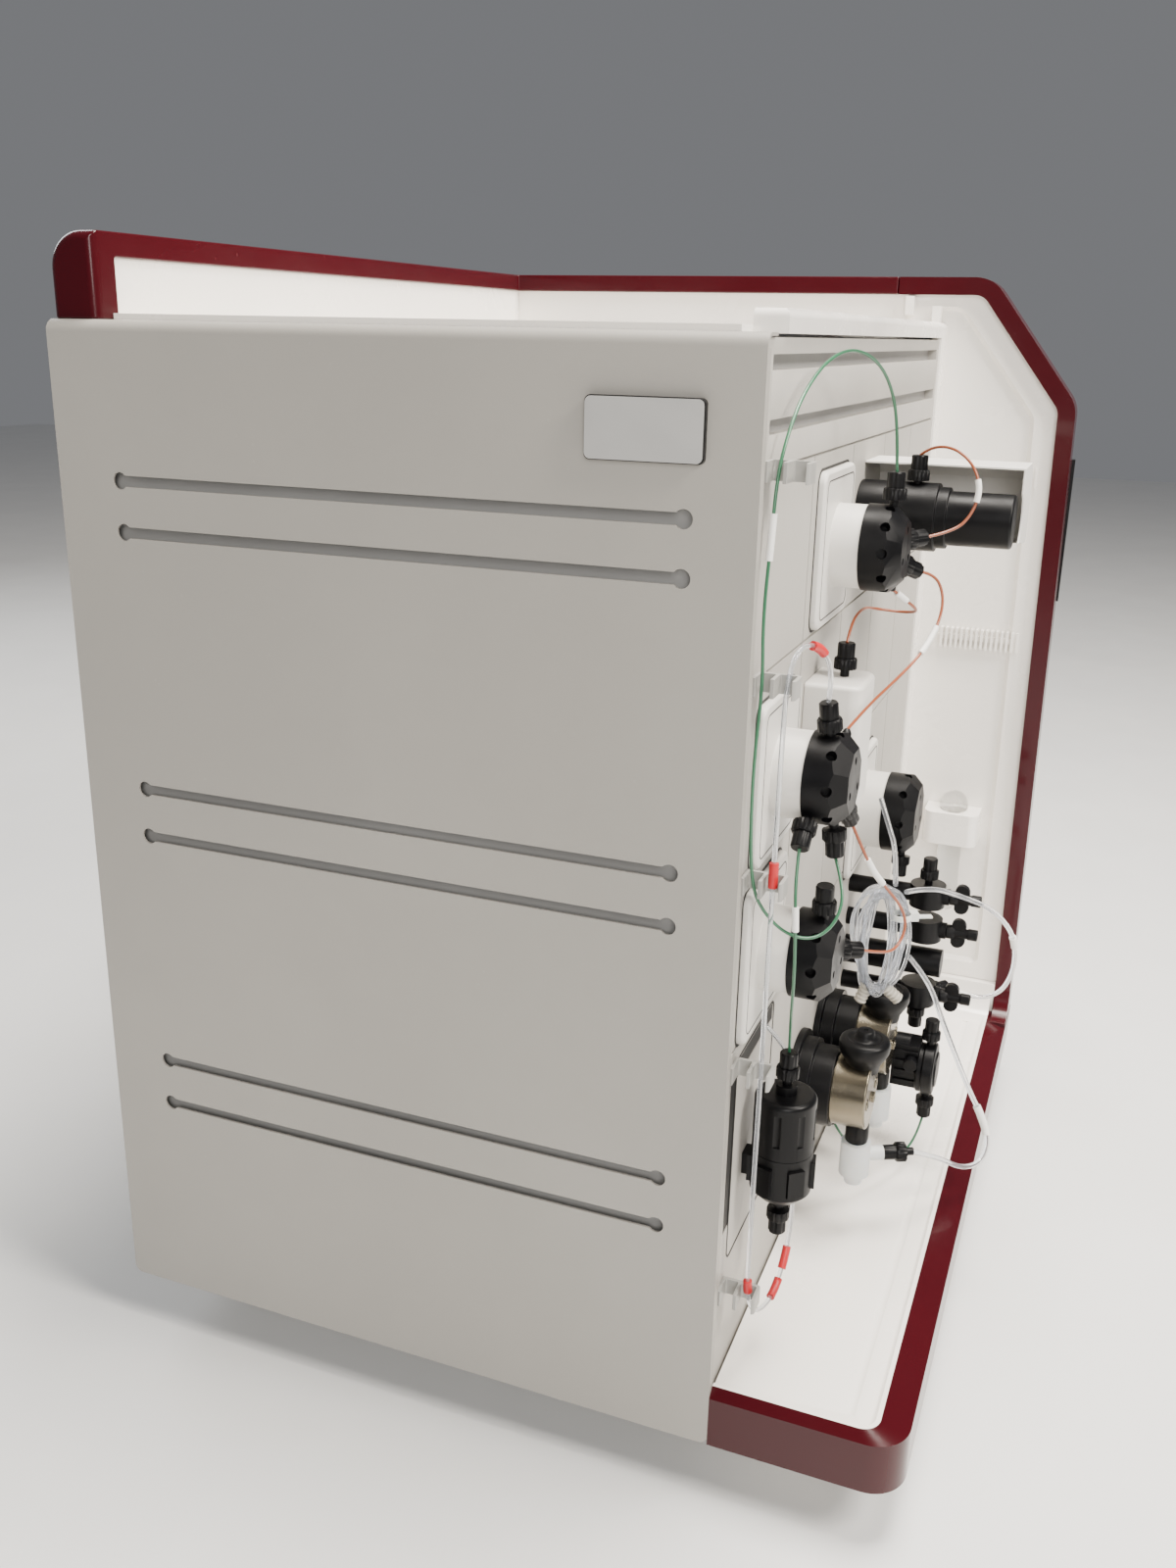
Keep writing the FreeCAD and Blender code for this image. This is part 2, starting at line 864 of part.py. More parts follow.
def valve_head(axis, radius, facets):
    """Black head: round at the back, faceted towards the front, a port in each facet."""
    x, z = axis
    back = valve_seat_front()
    front = back - head_length
    drum = rod(V(x, back, z), V(0, -1, 0), radius, head_length)
    half_turn = 180.0 / facets
    wide = radius / math.cos(math.radians(half_turn)) + 3.0
    narrow = wide - 11.0
    knee = front + facet_length
    straight = Part.makeLoft(
        [polygon_wire(x, back + 1, z, wide, facets, half_turn), polygon_wire(x, knee, z, wide, facets, half_turn)],
        True, True,
    )
    tapered = Part.makeLoft(
        [polygon_wire(x, knee, z, wide, facets, half_turn), polygon_wire(x, front, z, narrow, facets, half_turn)],
        True, True,
    )
    head = drum.common(straight.fuse(tapered).removeSplitter())
    ports = []
    for direction in port_directions(facets, 0):
        centre = V(x, front + facet_length * 0.75, z) + direction * (radius + 1)
        inward = (direction * -1 + V(0, 0.35, 0)).normalize()
        ports.append(rod(centre, inward, port_radius, port_depth))
    screws = []
    for direction in port_directions(3, 90):
        start = V(x, front - 1, z) + direction * (radius * 0.45)
        screws.append(rod(start, V(0, 1, 0), 2.0, 4.0))
    return head.cut(ports + screws)


def nut(base, direction):
    """Finger-tight tube nut: stem in the port, hexagonal collar, round grip."""
    along = V(direction).normalize()
    start = base - along * 1.0
    stem = rod(start, along, nut_stem_radius, nut_stem + 1.5)
    collar = rod(base + along * nut_stem, along, nut_collar_radius, nut_collar)
    grip = rod(base + along * (nut_stem + nut_collar), along, nut_grip_radius, nut_grip)
    return fuse_all([stem, collar, grip])


def port_middle():
    """Y of the ring of ports on the valve heads."""
    return valve_seat_front() - head_length + facet_length * 0.75


def radial_port(index, angle, forward, back=0.0):
    """Place and direction of a port on a valve head, at an angle in the XZ plane."""
    x, z = valve_axes[index]
    radial = V(math.cos(math.radians(angle)), 0, math.sin(math.radians(angle)))
    direction = (radial + V(0, -forward, 0)).normalize()
    return V(x, port_middle() + back, z) + radial * (valve_radii[index] - 1.5), direction


def fitting_places():
    """Every tube nut: base point and direction."""
    purge_low = purge_heights[2] - purge_height / 2
    purge_top = purge_heights[0] + purge_height / 2
    return {
        "valve_1_top": radial_port(0, 90, 0.0),
        "valve_1_upper": radial_port(0, 4, 0.9),
        "valve_1_lower": radial_port(0, -26, 0.75),
        "valve_2_top": radial_port(1, 98, -0.1, 4.0),
        "valve_2_left": radial_port(1, 225, 0.0, 10.0),
        "valve_2_bottom": radial_port(1, 270, 0.1),
        "valve_2_low_right": radial_port(1, 312, 0.2),
        "valve_3_top": radial_port(2, 96, 0.0),
        "valve_3_right": radial_port(2, -14, 1.2),
        "valve_4_bottom": radial_port(3, 262, 0.0),
        "uv_top": (V(uv_x - 2, -158.0, uv_z + uv_collar_radius - 3.0), V(0, 0, 1)),
        "cond_top": (V(cond_left + 24, panel_front - 16, cond_top), V(0, 0, 1)),
        "mixer_top": (V(mixer_x, mixer_y, mixer_top + mixer_neck), V(0, 0, 1)),
        "mixer_bottom": (V(mixer_x, mixer_y, mixer_bottom - mixer_neck), V(0, 0, -1)),
        "purge_top": (V(purge_x, purge_y, purge_top), V(0, 0, 1)),
        "purge_side": (V(purge_x + 10.4, purge_y - 5.0, purge_low + 3.2), V(0.8, -0.6, 0)),
        "purge_low": (V(purge_x, purge_y, purge_low), V(0, 0, -1)),
        "monitor_top": (V(monitor_x, monitor_y, monitor_bottom + monitor_height), V(0, 0, 1)),
        "monitor_bottom": (V(monitor_x, monitor_y, monitor_bottom), V(0, 0, -1)),
        "pump_inlet": rinse_port(),
        "pump_outlet": (V(pump_left_x + 14, panel_front - 16, pump_z - 18), V(0.25, -0.3, -0.92)),
    }


def rinse_port():
    """Side port of the left rinse chamber: end point and direction."""
    middle = panel_front - pump_flange - pump_body - check_setback
    direction = V(0.455, -0.89, 0).normalize()
    return V(pump_left_x, middle, pump_z - pump_head_radius - inlet_height - 9) + direction * port_reach, direction


def ferrule_places():
    """Ports where a tube goes in without a nut: base point and direction."""
    return {
        "valve_1_bottom": radial_port(0, -64, 0.3),
        "valve_2_right": radial_port(1, 52, 0.0),
    }


def tube_fittings():
    """All the tube nuts; the pump inlet's sits the other way round."""
    shapes = []
    for name, (base, direction) in fitting_places().items():
        if name == "pump_inlet":
            along = V(direction).normalize()
            shapes.append(nut(base + along * nut_length, along * -1))
        else:
            shapes.append(nut(base, direction))
    for base, direction in ferrule_places().values():
        shapes.append(rod(base - direction, direction, nut_stem_radius, ferrule_length + 1))
    return Part.makeCompound(shapes)


def uv_cell():
    """Black detector cell: wide round collar on the panel and a long barrel."""
    collar = rod(V(uv_x, panel_front, uv_z), V(0, -1, 0), uv_collar_radius, uv_collar)
    barrel = rod(V(uv_x, panel_front, uv_z), V(0, -1, 0), uv_radius, panel_front - uv_front)
    ring = rod(V(uv_x, panel_front - uv_collar, uv_z), V(0, -1, 0), uv_radius + 2, 6.0)
    cell = fuse_all([collar, barrel, ring])
    front = [
        edge for edge in cell.Edges
        if edge.BoundBox.YMax < uv_front + 0.1 and edge.BoundBox.ZLength > uv_radius
    ]
    return cell.makeChamfer(1.0, front)


def uv_cover():
    """Grey sheet hood on the far side of the cell: top, side and slanted front plate."""
    back = panel_front
    front = uv_front - 3.0
    left = uv_x + 4.0
    shell = prism_y(
        [
            (left, uv_cover_bottom + 6),
            (uv_cover_right, uv_cover_bottom),
            (uv_cover_right, uv_cover_top - 9),
            (uv_cover_right - 9, uv_cover_top),
            (left, uv_cover_top),
        ],
        [0, 4.0, 2.0, 2.0, 0],
        front,
        back,
    )
    inner = prism_y(
        [
            (left - 5, uv_cover_bottom + 6),
            (uv_cover_right - uv_cover_sheet, uv_cover_bottom + uv_cover_sheet),
            (uv_cover_right - uv_cover_sheet, uv_cover_top - 10),
            (uv_cover_right - 10, uv_cover_top - uv_cover_sheet),
            (left - 5, uv_cover_top - uv_cover_sheet),
        ],
        [0, 3.0, 1.5, 1.5, 0],
        front + uv_cover_sheet,
        back + 1,
    )
    hood = shell.cut(inner)
    hood = hood.cut(rod(V(uv_x, panel_front + 1, uv_z), V(0, -1, 0), uv_collar_radius + 0.4, uv_collar + 1.4))
    hood = hood.cut(rod(V(uv_x, panel_front + 1, uv_z), V(0, -1, 0), uv_radius + 2.4, uv_collar + 8))
    return hood.cut(rod(V(uv_x, panel_front + 1, uv_z), V(0, -1, 0), uv_radius + 0.4, 200))


def conductivity_block():
    """Raised white block that holds the conductivity cell."""
    block = prism_z(
        rectangle(cond_left, cond_left + cond_width, panel_front - cond_depth, panel_front),
        [7.0, 7.0, 0, 0],
        cond_bottom,
        cond_top,
    )
    rim = [
        edge for edge in block.Edges
        if (edge.BoundBox.ZMin > cond_top - 0.1) and edge.BoundBox.YMin < panel_front - 1
    ]
    return block.makeFillet(2.5, rim)


def pump_places():
    """The X of the two pump heads."""
    return (pump_left_x, pump_left_x + pump_pitch)


def pump_body_solid(x):
    """Black pump body with its wide flange on the panel and the piston bore."""
    flange = rod(V(x, panel_front, pump_z), V(0, -1, 0), pump_flange_radius, pump_flange)
    neck = rod(V(x, panel_front - pump_flange, pump_z), V(0, -1, 0), pump_body_radius, pump_body)
    step = rod(V(x, panel_front - pump_flange, pump_z), V(0, -1, 0), pump_body_radius + 3, 8.0)
    body = fuse_all([flange, neck, step])
    bore = rod(
        V(x, panel_front - 3, pump_z), V(0, -1, 0), piston_radius + piston_clearance, pump_flange + pump_body
    )
    return body.cut(bore)


def piston_bore():
    """Y where the piston bore starts in the body and where it ends in the head."""
    start = panel_front - 3
    return start, panel_front - pump_flange - pump_body - pump_head + 5


def pump_head_solid(x):
    """Brushed steel pump head with the blind end of the piston bore and a front screw."""
    back = panel_front - pump_flange - pump_body
    end = piston_bore()[1]
    drum = rod(V(x, back, pump_z), V(0, -1, 0), pump_head_radius, pump_head)
    bore = rod(V(x, back + 1, pump_z), V(0, -1, 0), piston_radius + piston_clearance, back + 1 - end)
    front = [edge for edge in drum.Edges if edge.BoundBox.YMax < back - pump_head + 0.1]
    drum = drum.makeChamfer(0.8, front)
    screw = rod(V(x, back - pump_head, pump_z - 2), V(0, -1, 0), 3.2, 2.2)
    recess = rod(V(x, back - pump_head - 1.2, pump_z - 2), V(0, -1, 0), 1.6, 2.0)
    return drum.cut(bore).fuse(screw).cut(recess)


def piston_solid(x):
    """Pump piston in its bore, at mid stroke."""
    start, end = piston_bore()
    slack = piston_stroke + 1.0
    return rod(V(x, start - slack, pump_z), V(0, -1, 0), piston_radius, start - end - 2 * slack)


def check_valves():
    """Black check valve on top of each pump head and the nut below it."""
    shapes = []
    middle = panel_front - pump_flange - pump_body - check_setback
    for x in pump_places():
        base = pump_z + pump_head_radius - 4
        neck = Part.makeCone(check_neck_radius, check_radius, 10.0, V(x, middle, base), V(0, 0, 1))
        cap = rod(V(x, middle, base + 10), V(0, 0, 1), check_radius, check_height - 7)
        hub = rod(V(x, middle, base + 10 + check_height - 7), V(0, 0, 1), 5.0, 3.5)
        saddle = rod(V(x, panel_front, pump_z), V(0, -1, 0), pump_head_radius, 60)
        body = rod(V(x, panel_front, pump_z), V(0, -1, 0), pump_body_radius + 1, pump_flange + pump_body + 0.5)
        shapes.append(fuse_all([neck, cap, hub]).cut([saddle, body]))
        low = pump_z - pump_head_radius + 2
        stub = rod(V(x, middle, low), V(0, 0, -1), inlet_radius, inlet_height + 2)
        shapes.append(stub.cut(saddle))
    return Part.makeCompound(shapes)


def rinse_chamber():
    """Frosted rinse chambers below the pump heads."""
    middle = panel_front - pump_flange - pump_body - check_setback
    top = pump_z - pump_head_radius - inlet_height
    shapes = []
    for x in pump_places():
        upper = rod(V(x, middle, top), V(0, 0, -1), chamber_radius, chamber_height)
        neck = rod(V(x, middle, top - chamber_height), V(0, 0, -1), chamber_radius * 0.6, 6.0)
        pieces = [upper, neck]
        if x == pump_left_x:
            end, direction = rinse_port()
            pieces.append(rod(end, direction * -1, port_stub_radius, port_reach))
        shapes.append(fuse_all(pieces))
    return Part.makeCompound(shapes)


def pressure_monitor():
    """Black upright block in front of the right pump, on an arm from the panel."""
    block = prism_z(
        rectangle(
            monitor_x - monitor_width / 2, monitor_x + monitor_width / 2,
            monitor_y - monitor_depth / 2, monitor_y + monitor_depth / 2,
        ),
        5.0,
        monitor_bottom,
        monitor_bottom + monitor_height,
    )
    arm = rod(V(monitor_x, panel_front, monitor_bottom + 32), V(0, -1, 0), 7.0, panel_front - monitor_y)
    lug = rod(
        V(monitor_x - 17, monitor_y, monitor_bottom + monitor_height - 10), V(1, 0, 0), 4.5, 34
    )
    return fuse_all([block, arm, lug])


def purge_valves():
    """Three purge valve bodies and the round cell between them, each on its own stem."""
    front = purge_y - purge_radius
    shapes = []
    for height in purge_heights:
        drum = rod(V(purge_x, purge_y, height - purge_height / 2), V(0, 0, 1), purge_radius, purge_height)
        stem = rod(V(purge_x, panel_front, height), V(0, -1, 0), 6.0, panel_front - purge_y)
        boss = rod(V(purge_x, purge_y, height), V(0, -1, 0), 5.5, purge_radius + 3)
        hole = rod(
            V(purge_x, front - 4, height), V(0, 1, 0), spindle_radius + spindle_clearance, spindle_depth + 2
        )
        shapes.append(fuse_all([drum, stem, boss]).cut(hole))
    cell = rod(V(purge_x, panel_front, cell_height), V(0, -1, 0), cell_radius, panel_front - front + 2)
    shapes.append(cell)
    return Part.makeCompound(shapes)


def purge_knob(height):
    """Wing knob on its spindle."""
    face = purge_y - purge_radius - 3 - knob_gap
    hub = rod(V(purge_x, face, height), V(0, -1, 0), knob_hub + 1.2, 5.0)
    wing = prism_y(
        rectangle(purge_x - knob_thickness / 2, purge_x + knob_thickness / 2, height - knob_span / 2, height + knob_span / 2),
        1.5,
        face - 3.0,
        face - 3.0 - knob_blade,
    )
    tip = rod(V(purge_x, face, height), V(0, -1, 0), knob_hub, knob_length)
    spindle = rod(V(purge_x, face, height), V(0, 1, 0), spindle_radius, spindle_depth)
    return fuse_all([hub, wing, tip, spindle])


def mixer_cap():
    """Upper half of the mixer with its ribbed rim and neck."""
    drum = rod(V(mixer_x, mixer_y, mixer_split + 0.3), V(0, 0, 1), mixer_radius, mixer_top - mixer_split - 0.3)
    top = [edge for edge in drum.Edges if edge.BoundBox.ZMin > mixer_top - 0.1]
    drum = drum.makeFillet(3.0, top)
    neck = rod(V(mixer_x, mixer_y, mixer_top - 1), V(0, 0, 1), 5.5, mixer_neck + 1)
    notches = []
    for index in range(8):
        angle = math.radians(45.0 * index)
        place = V(mixer_x, mixer_y, mixer_split + 8) + V(math.cos(angle), math.sin(angle), 0) * (mixer_radius + 2.2)
        notches.append(rod(place, V(0, 0, 1), 3.0, mixer_top - mixer_split - 14))
    return drum.cut(notches).fuse(neck)


def mixer_chamber():
    """Lower half of the mixer: drum with a flat-sided grip and a tapered end."""
    drum = rod(V(mixer_x, mixer_y, mixer_bottom), V(0, 0, 1), mixer_radius, mixer_split - mixer_bottom)
    low = [edge for edge in drum.Edges if edge.BoundBox.ZMax < mixer_bottom + 0.1]
    drum = drum.makeChamfer(5.0, low)
    grips = []
    for index in range(6):
        grip = box(-4.5, 4.5, mixer_radius - 3, mixer_radius + 1.6, mixer_bottom + 8, mixer_split - 5)
        grip.rotate(V(0, 0, 0), V(0, 0, 1), 60.0 * index + 10)
        grip.translate(V(mixer_x, mixer_y, 0))
        grips.append(grip)
    neck = rod(V(mixer_x, mixer_y, mixer_bottom + 1), V(0, 0, -1), 5.5, mixer_neck + 1)
    arm = box(mixer_x - 5, mixer_x + 5, mixer_y + mixer_radius - 2, panel_front, mixer_bottom + 10, mixer_split - 6)
    return fuse_all([drum, neck, arm] + grips)


def tube_clip(height):
    """Small comb clip: a stem from the panel and two open mouths."""
    low = height - clip_height / 2
    high = height + clip_height / 2
    front = panel_front - clip_depth
    left = clip_x - clip_width / 2
    right = clip_x + clip_width / 2
    outer = prism_z(rectangle(left, right, front, panel_front), [2.0, 2.0, 0, 0], low, high)
    rear_room = prism_z(
        rectangle(left - 1, right - clip_wall, panel_front - 8.5, panel_front - clip_wall), 1.0, low - 1, high + 1
    )
    front_room = prism_z(
        rectangle(left - 1, right - clip_wall, front + clip_wall, panel_front - 8.5 - clip_wall), 1.0, low - 1, high + 1
    )
    return outer.cut([rear_room, front_room])


def tube_clips():
    """Five clips down the panel's left edge."""
    return Part.makeCompound([tube_clip(height) for height in clip_heights])


def tube_holder():
    """White bracket on the right wall with a round hole for the rinse tube."""
    face = wall_inner + wall_recess
    block = prism_z(
        rectangle(face - holder_reach, face, holder_y - holder_length / 2, holder_y + holder_length / 2),
        [8.0, 0, 0, 8.0],
        holder_z - holder_height / 2,
        holder_z + holder_height / 2,
    )
    axis = V(face - holder_reach / 2, holder_y, holder_z - holder_height)
    hole = rod(axis, V(0, 0, 1), rinse_radius + rinse_clearance, 2 * holder_height)
    return block.cut(hole)


def rinse_tube():
    """Clear tube with a round bottom, standing in the holder on its collar."""
    x = wall_inner + wall_recess - holder_reach / 2
    top = holder_z + holder_height / 2 + 14
    low = top - rinse_height
    outer = rod(V(x, holder_y, low), V(0, 0, 1), rinse_radius, rinse_height)
    bottom = Part.makeSphere(rinse_radius, V(x, holder_y, low))
    collar = rod(V(x, holder_y, holder_z + holder_height / 2), V(0, 0, 1), rinse_radius + 2, 2.0)
    room = rod(V(x, holder_y, low), V(0, 0, 1), rinse_radius - rinse_wall, rinse_height + 1)
    room_bottom = Part.makeSphere(rinse_radius - rinse_wall, V(x, holder_y, low))
    return fuse_all([outer, bottom, collar]).cut([room, room_bottom])


def control_panel():
    """Dark control strip at the wall's front edge, with a well for each button."""
    strip = prism_z(
        rectangle(right_side - strip_thickness, right_side, strip_front, strip_front + strip_width),
        [0, strip_corner, strip_corner, 0],
        strip_bottom,
        strip_top,
    )
    wells = []
    for height in button_heights:
        floor = right_side - strip_thickness + well_floor
        wells.append(rod(V(floor, button_y, height), V(1, 0, 0), button_radius + button_clearance, 10))
    return strip.cut(wells)


def button(height):
    """Round push button in its well."""
    start = right_side - strip_thickness + well_floor + button_travel + button_gap
    return rod(V(start, button_y, height), V(1, 0, 0), button_radius, right_side - 0.2 - start)


def mains_inlet():
    """Three-pin mains inlet beside the frame of the power switch."""
    back = cabinet_rear - inlet_reach
    x0, x1, z0, z1 = inlet_opening()
    body = box(x0 + 0.3, x1 - 0.3, back, cabinet_rear, z0 + 0.3, z1 - 0.3)
    socket = prism_y(
        rectangle(inlet_x - 12, inlet_x + 12, inlet_z - 8.5, inlet_z + 8.5), [2.0, 2.0, 5.0, 5.0],
        back + 2, cabinet_rear + 1,
    )
    pins = [
        box(inlet_x + x - 1, inlet_x + x + 1, back + 1, cabinet_rear - 5, inlet_z + z - 2.5, inlet_z + z + 2.5)
        for x, z in ((-7, -2), (0, 2), (7, -2))
    ]
    x2, x3, z2, z3 = switch_opening()
    frame = box(x2 + 0.3, x3 - 0.3, back, cabinet_rear, z2 + 0.3, z3 - 0.3)
    room = box(
        rocker_x - rocker_width / 2 - rocker_clearance, rocker_x + rocker_width / 2 + rocker_clearance,
        back + 1.5, cabinet_rear + 1,
        inlet_z - rocker_height / 2 - rocker_clearance, inlet_z + rocker_height / 2 + rocker_clearance,
    )
    reach = rocker_width / 2 + rocker_clearance + rocker_pin_reach + 0.2
    pivot = rod(
        V(rocker_x - reach, cabinet_rear - rocker_depth, inlet_z), V(1, 0, 0),
        rocker_pin_radius + rocker_pin_clearance, 2 * reach,
    )
    return Part.makeCompound([fuse_all([body.cut(socket)] + pins), frame.cut([room, pivot])])


def power_rocker():
    """Rocker of the power switch, pressed in at its lower end."""
    half = rocker_height / 2 - 0.6
    depth = rocker_depth
    lean = half * math.tan(math.radians(rocker_throw / 2))
    outline = [
        (cabinet_rear - depth, inlet_z - half),
        (cabinet_rear - rocker_sink, inlet_z - half),
        (cabinet_rear - rocker_sink - lean, inlet_z),
        (cabinet_rear - rocker_sink, inlet_z + half),
        (cabinet_rear - depth, inlet_z + half),
        (cabinet_rear - depth - 2.0, inlet_z),
    ]
    rocker = prism_x(outline, 0, rocker_x - rocker_width / 2, rocker_x + rocker_width / 2)
    rocker.rotate(V(rocker_x, cabinet_rear - depth, inlet_z), V(1, 0, 0), rocker_throw / 2)
    reach = rocker_width / 2 + rocker_clearance + rocker_pin_reach
    pivot = rod(V(rocker_x - reach, cabinet_rear - depth, inlet_z), V(1, 0, 0), rocker_pin_radius, 2 * reach)
    return fuse_all([rocker, pivot])


def fan_rotor():
    """Fan rotor: hub with a pin bore and pitched blades."""
    rear = cabinet_rear - sheet - 3
    hub = rod(V(fan_x, rear, fan_z), V(0, -1, 0), fan_hub, fan_depth - 6)
    blades = []
    for index in range(fan_blades):
        blade = box(fan_hub - 2, fan_radius - 1, -1.0, 1.0, -10, 10)
        blade.rotate(V(0, 0, 0), V(1, 0, 0), 35)
        blade = blade.common(box(0, fan_radius, -9, 9, -30, 30))
        blade.rotate(V(0, 0, 0), V(0, 1, 0), 360.0 * index / fan_blades)
        blade.translate(V(fan_x, rear - (fan_depth - 6) / 2, fan_z))
        blades.append(blade)
    rotor = fuse_all([hub] + blades)
    bore = rod(
        V(fan_x, rear - fan_depth + 5, fan_z), V(0, 1, 0), fan_pin_radius + fan_pin_clearance, fan_depth - 9
    )
    return rotor.cut(bore)


def asset_plate():
    """Bare rounded plate on the side cover."""
    plate = prism_x(
        rectangle(tag_front, tag_front + tag_length, tag_bottom, tag_bottom + tag_height),
        2.5,
        left_side - tag_thickness,
        left_side,
    )
    rim = [edge for edge in plate.Edges if edge.BoundBox.XMax < left_side - tag_thickness + 0.1]
    return plate.makeChamfer(0.5, rim)


def tube(name, points, diameter):
    """A tube along straight runs joined by the largest tangent arcs that fit."""
    radii = [0.0]
    for index in range(1, len(points) - 1):
        back = points[index - 1] - points[index]
        ahead = points[index + 1] - points[index]
        half_turn = (math.pi - back.getAngle(ahead)) / 2
        radii.append(0.45 * min(back.Length, ahead.Length) / math.tan(half_turn))
    radii.append(0.0)
    path = Part.Wire(run_edges(points, radii, False))
    ring = Part.Wire(Part.makeCircle(diameter / 2, points[0], points[1] - points[0]))
    solid = path.makePipeShell([ring], True, False)
    wanted = math.pi * diameter ** 2 / 4 * path.Length
    print(
        f"{name}: length {path.Length:.1f}, least radius {min(radii[1:-1]):.1f}, "
        f"volume over section x length {solid.Volume / wanted:.4f}"
    )
    return solid


def nut_end(name):
    """Where a tube leaves a nut or a ferrule."""
    if name in fitting_places():
        base, direction = fitting_places()[name]
        return base + V(direction).normalize() * nut_length
    base, direction = ferrule_places()[name]
    return base + V(direction).normalize() * ferrule_length


def hank_point(angle, height):
    """A point just off the hank's surface, round one of its ends."""
    reach = hank_bend + hank_radius + tube_gap
    across = V(hank_across) * (reach * math.cos(math.radians(angle)))
    return hank_centre + across + V(0, 0, height + reach * math.sin(math.radians(angle)))


def tube_hank():
    """Spare tube coiled and tied into one upright ring."""
    half = hank_straight / 2
    pieces = []
    for side in (-1, 1):
        pieces.append(rod(V(side * hank_bend, 0, -half), V(0, 0, 1), hank_radius, hank_straight))
    for end in (-1, 1):
        ring = Part.makeTorus(hank_bend, hank_radius, V(0, 0, end * half), V(0, 1, 0))
        reach = hank_bend + 2 * hank_radius
        low = half if end > 0 else -half - reach
        pieces.append(ring.common(box(-reach, reach, -reach, reach, low, low + reach)))
    ring = fuse_all(pieces)
    ring.rotate(V(0, 0, 0), V(0, 0, 1), math.degrees(math.atan2(hank_across.y, hank_across.x)))
    ring.translate(hank_centre)
    return ring


def tube_routes():
    """Every free tube: its diameter and the points of its route."""
    return {
        "green_tube_upper": (fine_diameter, [
            nut_end("valve_1_top"), (-112, -157, 544), (-118, -154, 563), (-136, -149, 577),
            (-164, -142, 583), (-196, -137, 578), (-224, -134, 565), (-242, -133, 551),
            (-253, -131.5, 533), (-256, -131, 503), (-258, -130, 471), (-256, -131.2, 440),
            (-259, -130, 408), (-259, -130.2, 376), (-256, -131.5, 345), (-250, -137, 330),
            (-243, -147, 318), (-236, -159, 315), (-227, -167, 322), (-218, -168, 335),
            nut_end("valve_2_bottom"),
        ]),
        "green_tube_mixer": (fine_diameter, [
            nut_end("valve_2_left"), (-243, -149, 346), (-245.5, -151, 326), (-244.5, -152, 300),
            (-238, -150.5, 276), (-223, -147.5, 258), nut_end("mixer_top"),
        ]),
        "orange_tube_1": (fine_diameter, [
            nut_end("uv_top"), (-38, -164, 531), (-47, -177, 532), (-55, -189, 525),
            (-58, -195, 512), (-60, -192, 498), (-65, -184, 489), nut_end("valve_1_upper"),
        ]),
        "orange_tube_2": (fine_diameter, [
            nut_end("valve_1_lower"), (-73, -177, 467), (-73, -183, 456), (-80, -183, 442),
            (-97, -177, 427), (-124, -168, 417), (-156, -161, 411), nut_end("valve_2_right"),
        ]),
        "orange_tube_3": (fine_diameter, [
            nut_end("valve_1_bottom"), (-89, -167, 453), (-76, -171, 446), (-65, -161, 443),
            (-72, -146, 443), (-91, -143.5, 446), (-107, -143, 450), (-120, -142.7, 450),
            nut_end("cond_top"),
        ]),
        "orange_tube_4": (fine_diameter, [
            nut_end("valve_2_low_right"), (-172, -171, 332), (-157, -178, 316), (-146, -186, 302),
            (-141, -189, 289), (-149, -186, 279), (-163, -181, 281), nut_end("valve_3_right"),
        ]),
        "clear_loop_1": (soft_diameter, [
            hank_point(45, hank_straight / 2), (-20, -186, 266), (8, -202, 252), (34, -219, 237),
            (57, -232, 215), (76, -236, 192), (83, -235.5, 171), (78, -229, 157),
            (70, -213, 153), nut_end("purge_side"),
        ]),
        "clear_loop_2": (soft_diameter, [
            hank_point(0, -10), (-34, -192, 210), (-26, -201, 183), (-20, -211, 157),
            (-16, -222, 131), (-14, -232, 112), (-17, -238, 97), (-27, -235, 86),
            (-41, -224, 88), (-56, -212, 102), nut_end("pump_inlet"),
        ]),
        "waste_tube": (soft_diameter, [
            V(-14, -150, 317), (-20, -157, 302), (-28, -164, 290), hank_point(70, hank_straight / 2),
        ]),
        "pump_tube": (fine_diameter, [
            nut_end("pump_outlet"), (-76, -156, 110), (-62, -168, 94), (-38, -180, 82),
            (-11, -191, 79), nut_end("monitor_bottom"),
        ]),
        "inlet_tube": (inlet_diameter, [
            nut_end("valve_2_top"), (-215, -154, 441), (-224, -149, 454), (-240, -143, 457),
            (-251, -140.7, 443), (-254, -141, 410), (-251.5, -140.5, 376), (-254, -141, 340),
            (-251.5, -140.5, 300), (-253.5, -141, 262), (-252, -140.7, 226), (-254, -141, 188),
            (-251.5, -140.5, 152), (-252.5, -140.7, 120), (-244, -143, 103), (-226, -147, 98),
            (-208, -149, 106), (-197, -150, 126), (-192, -149, 152), (-189, -147, 180),
            (-187, -144, 206), (-187, -139, 230), V(-187, -124.5, 241),
        ]),
    }


def write(name, shape):
    """Writes one sub-part."""
    shape.exportStep(os.path.join("parts", name + ".step"))


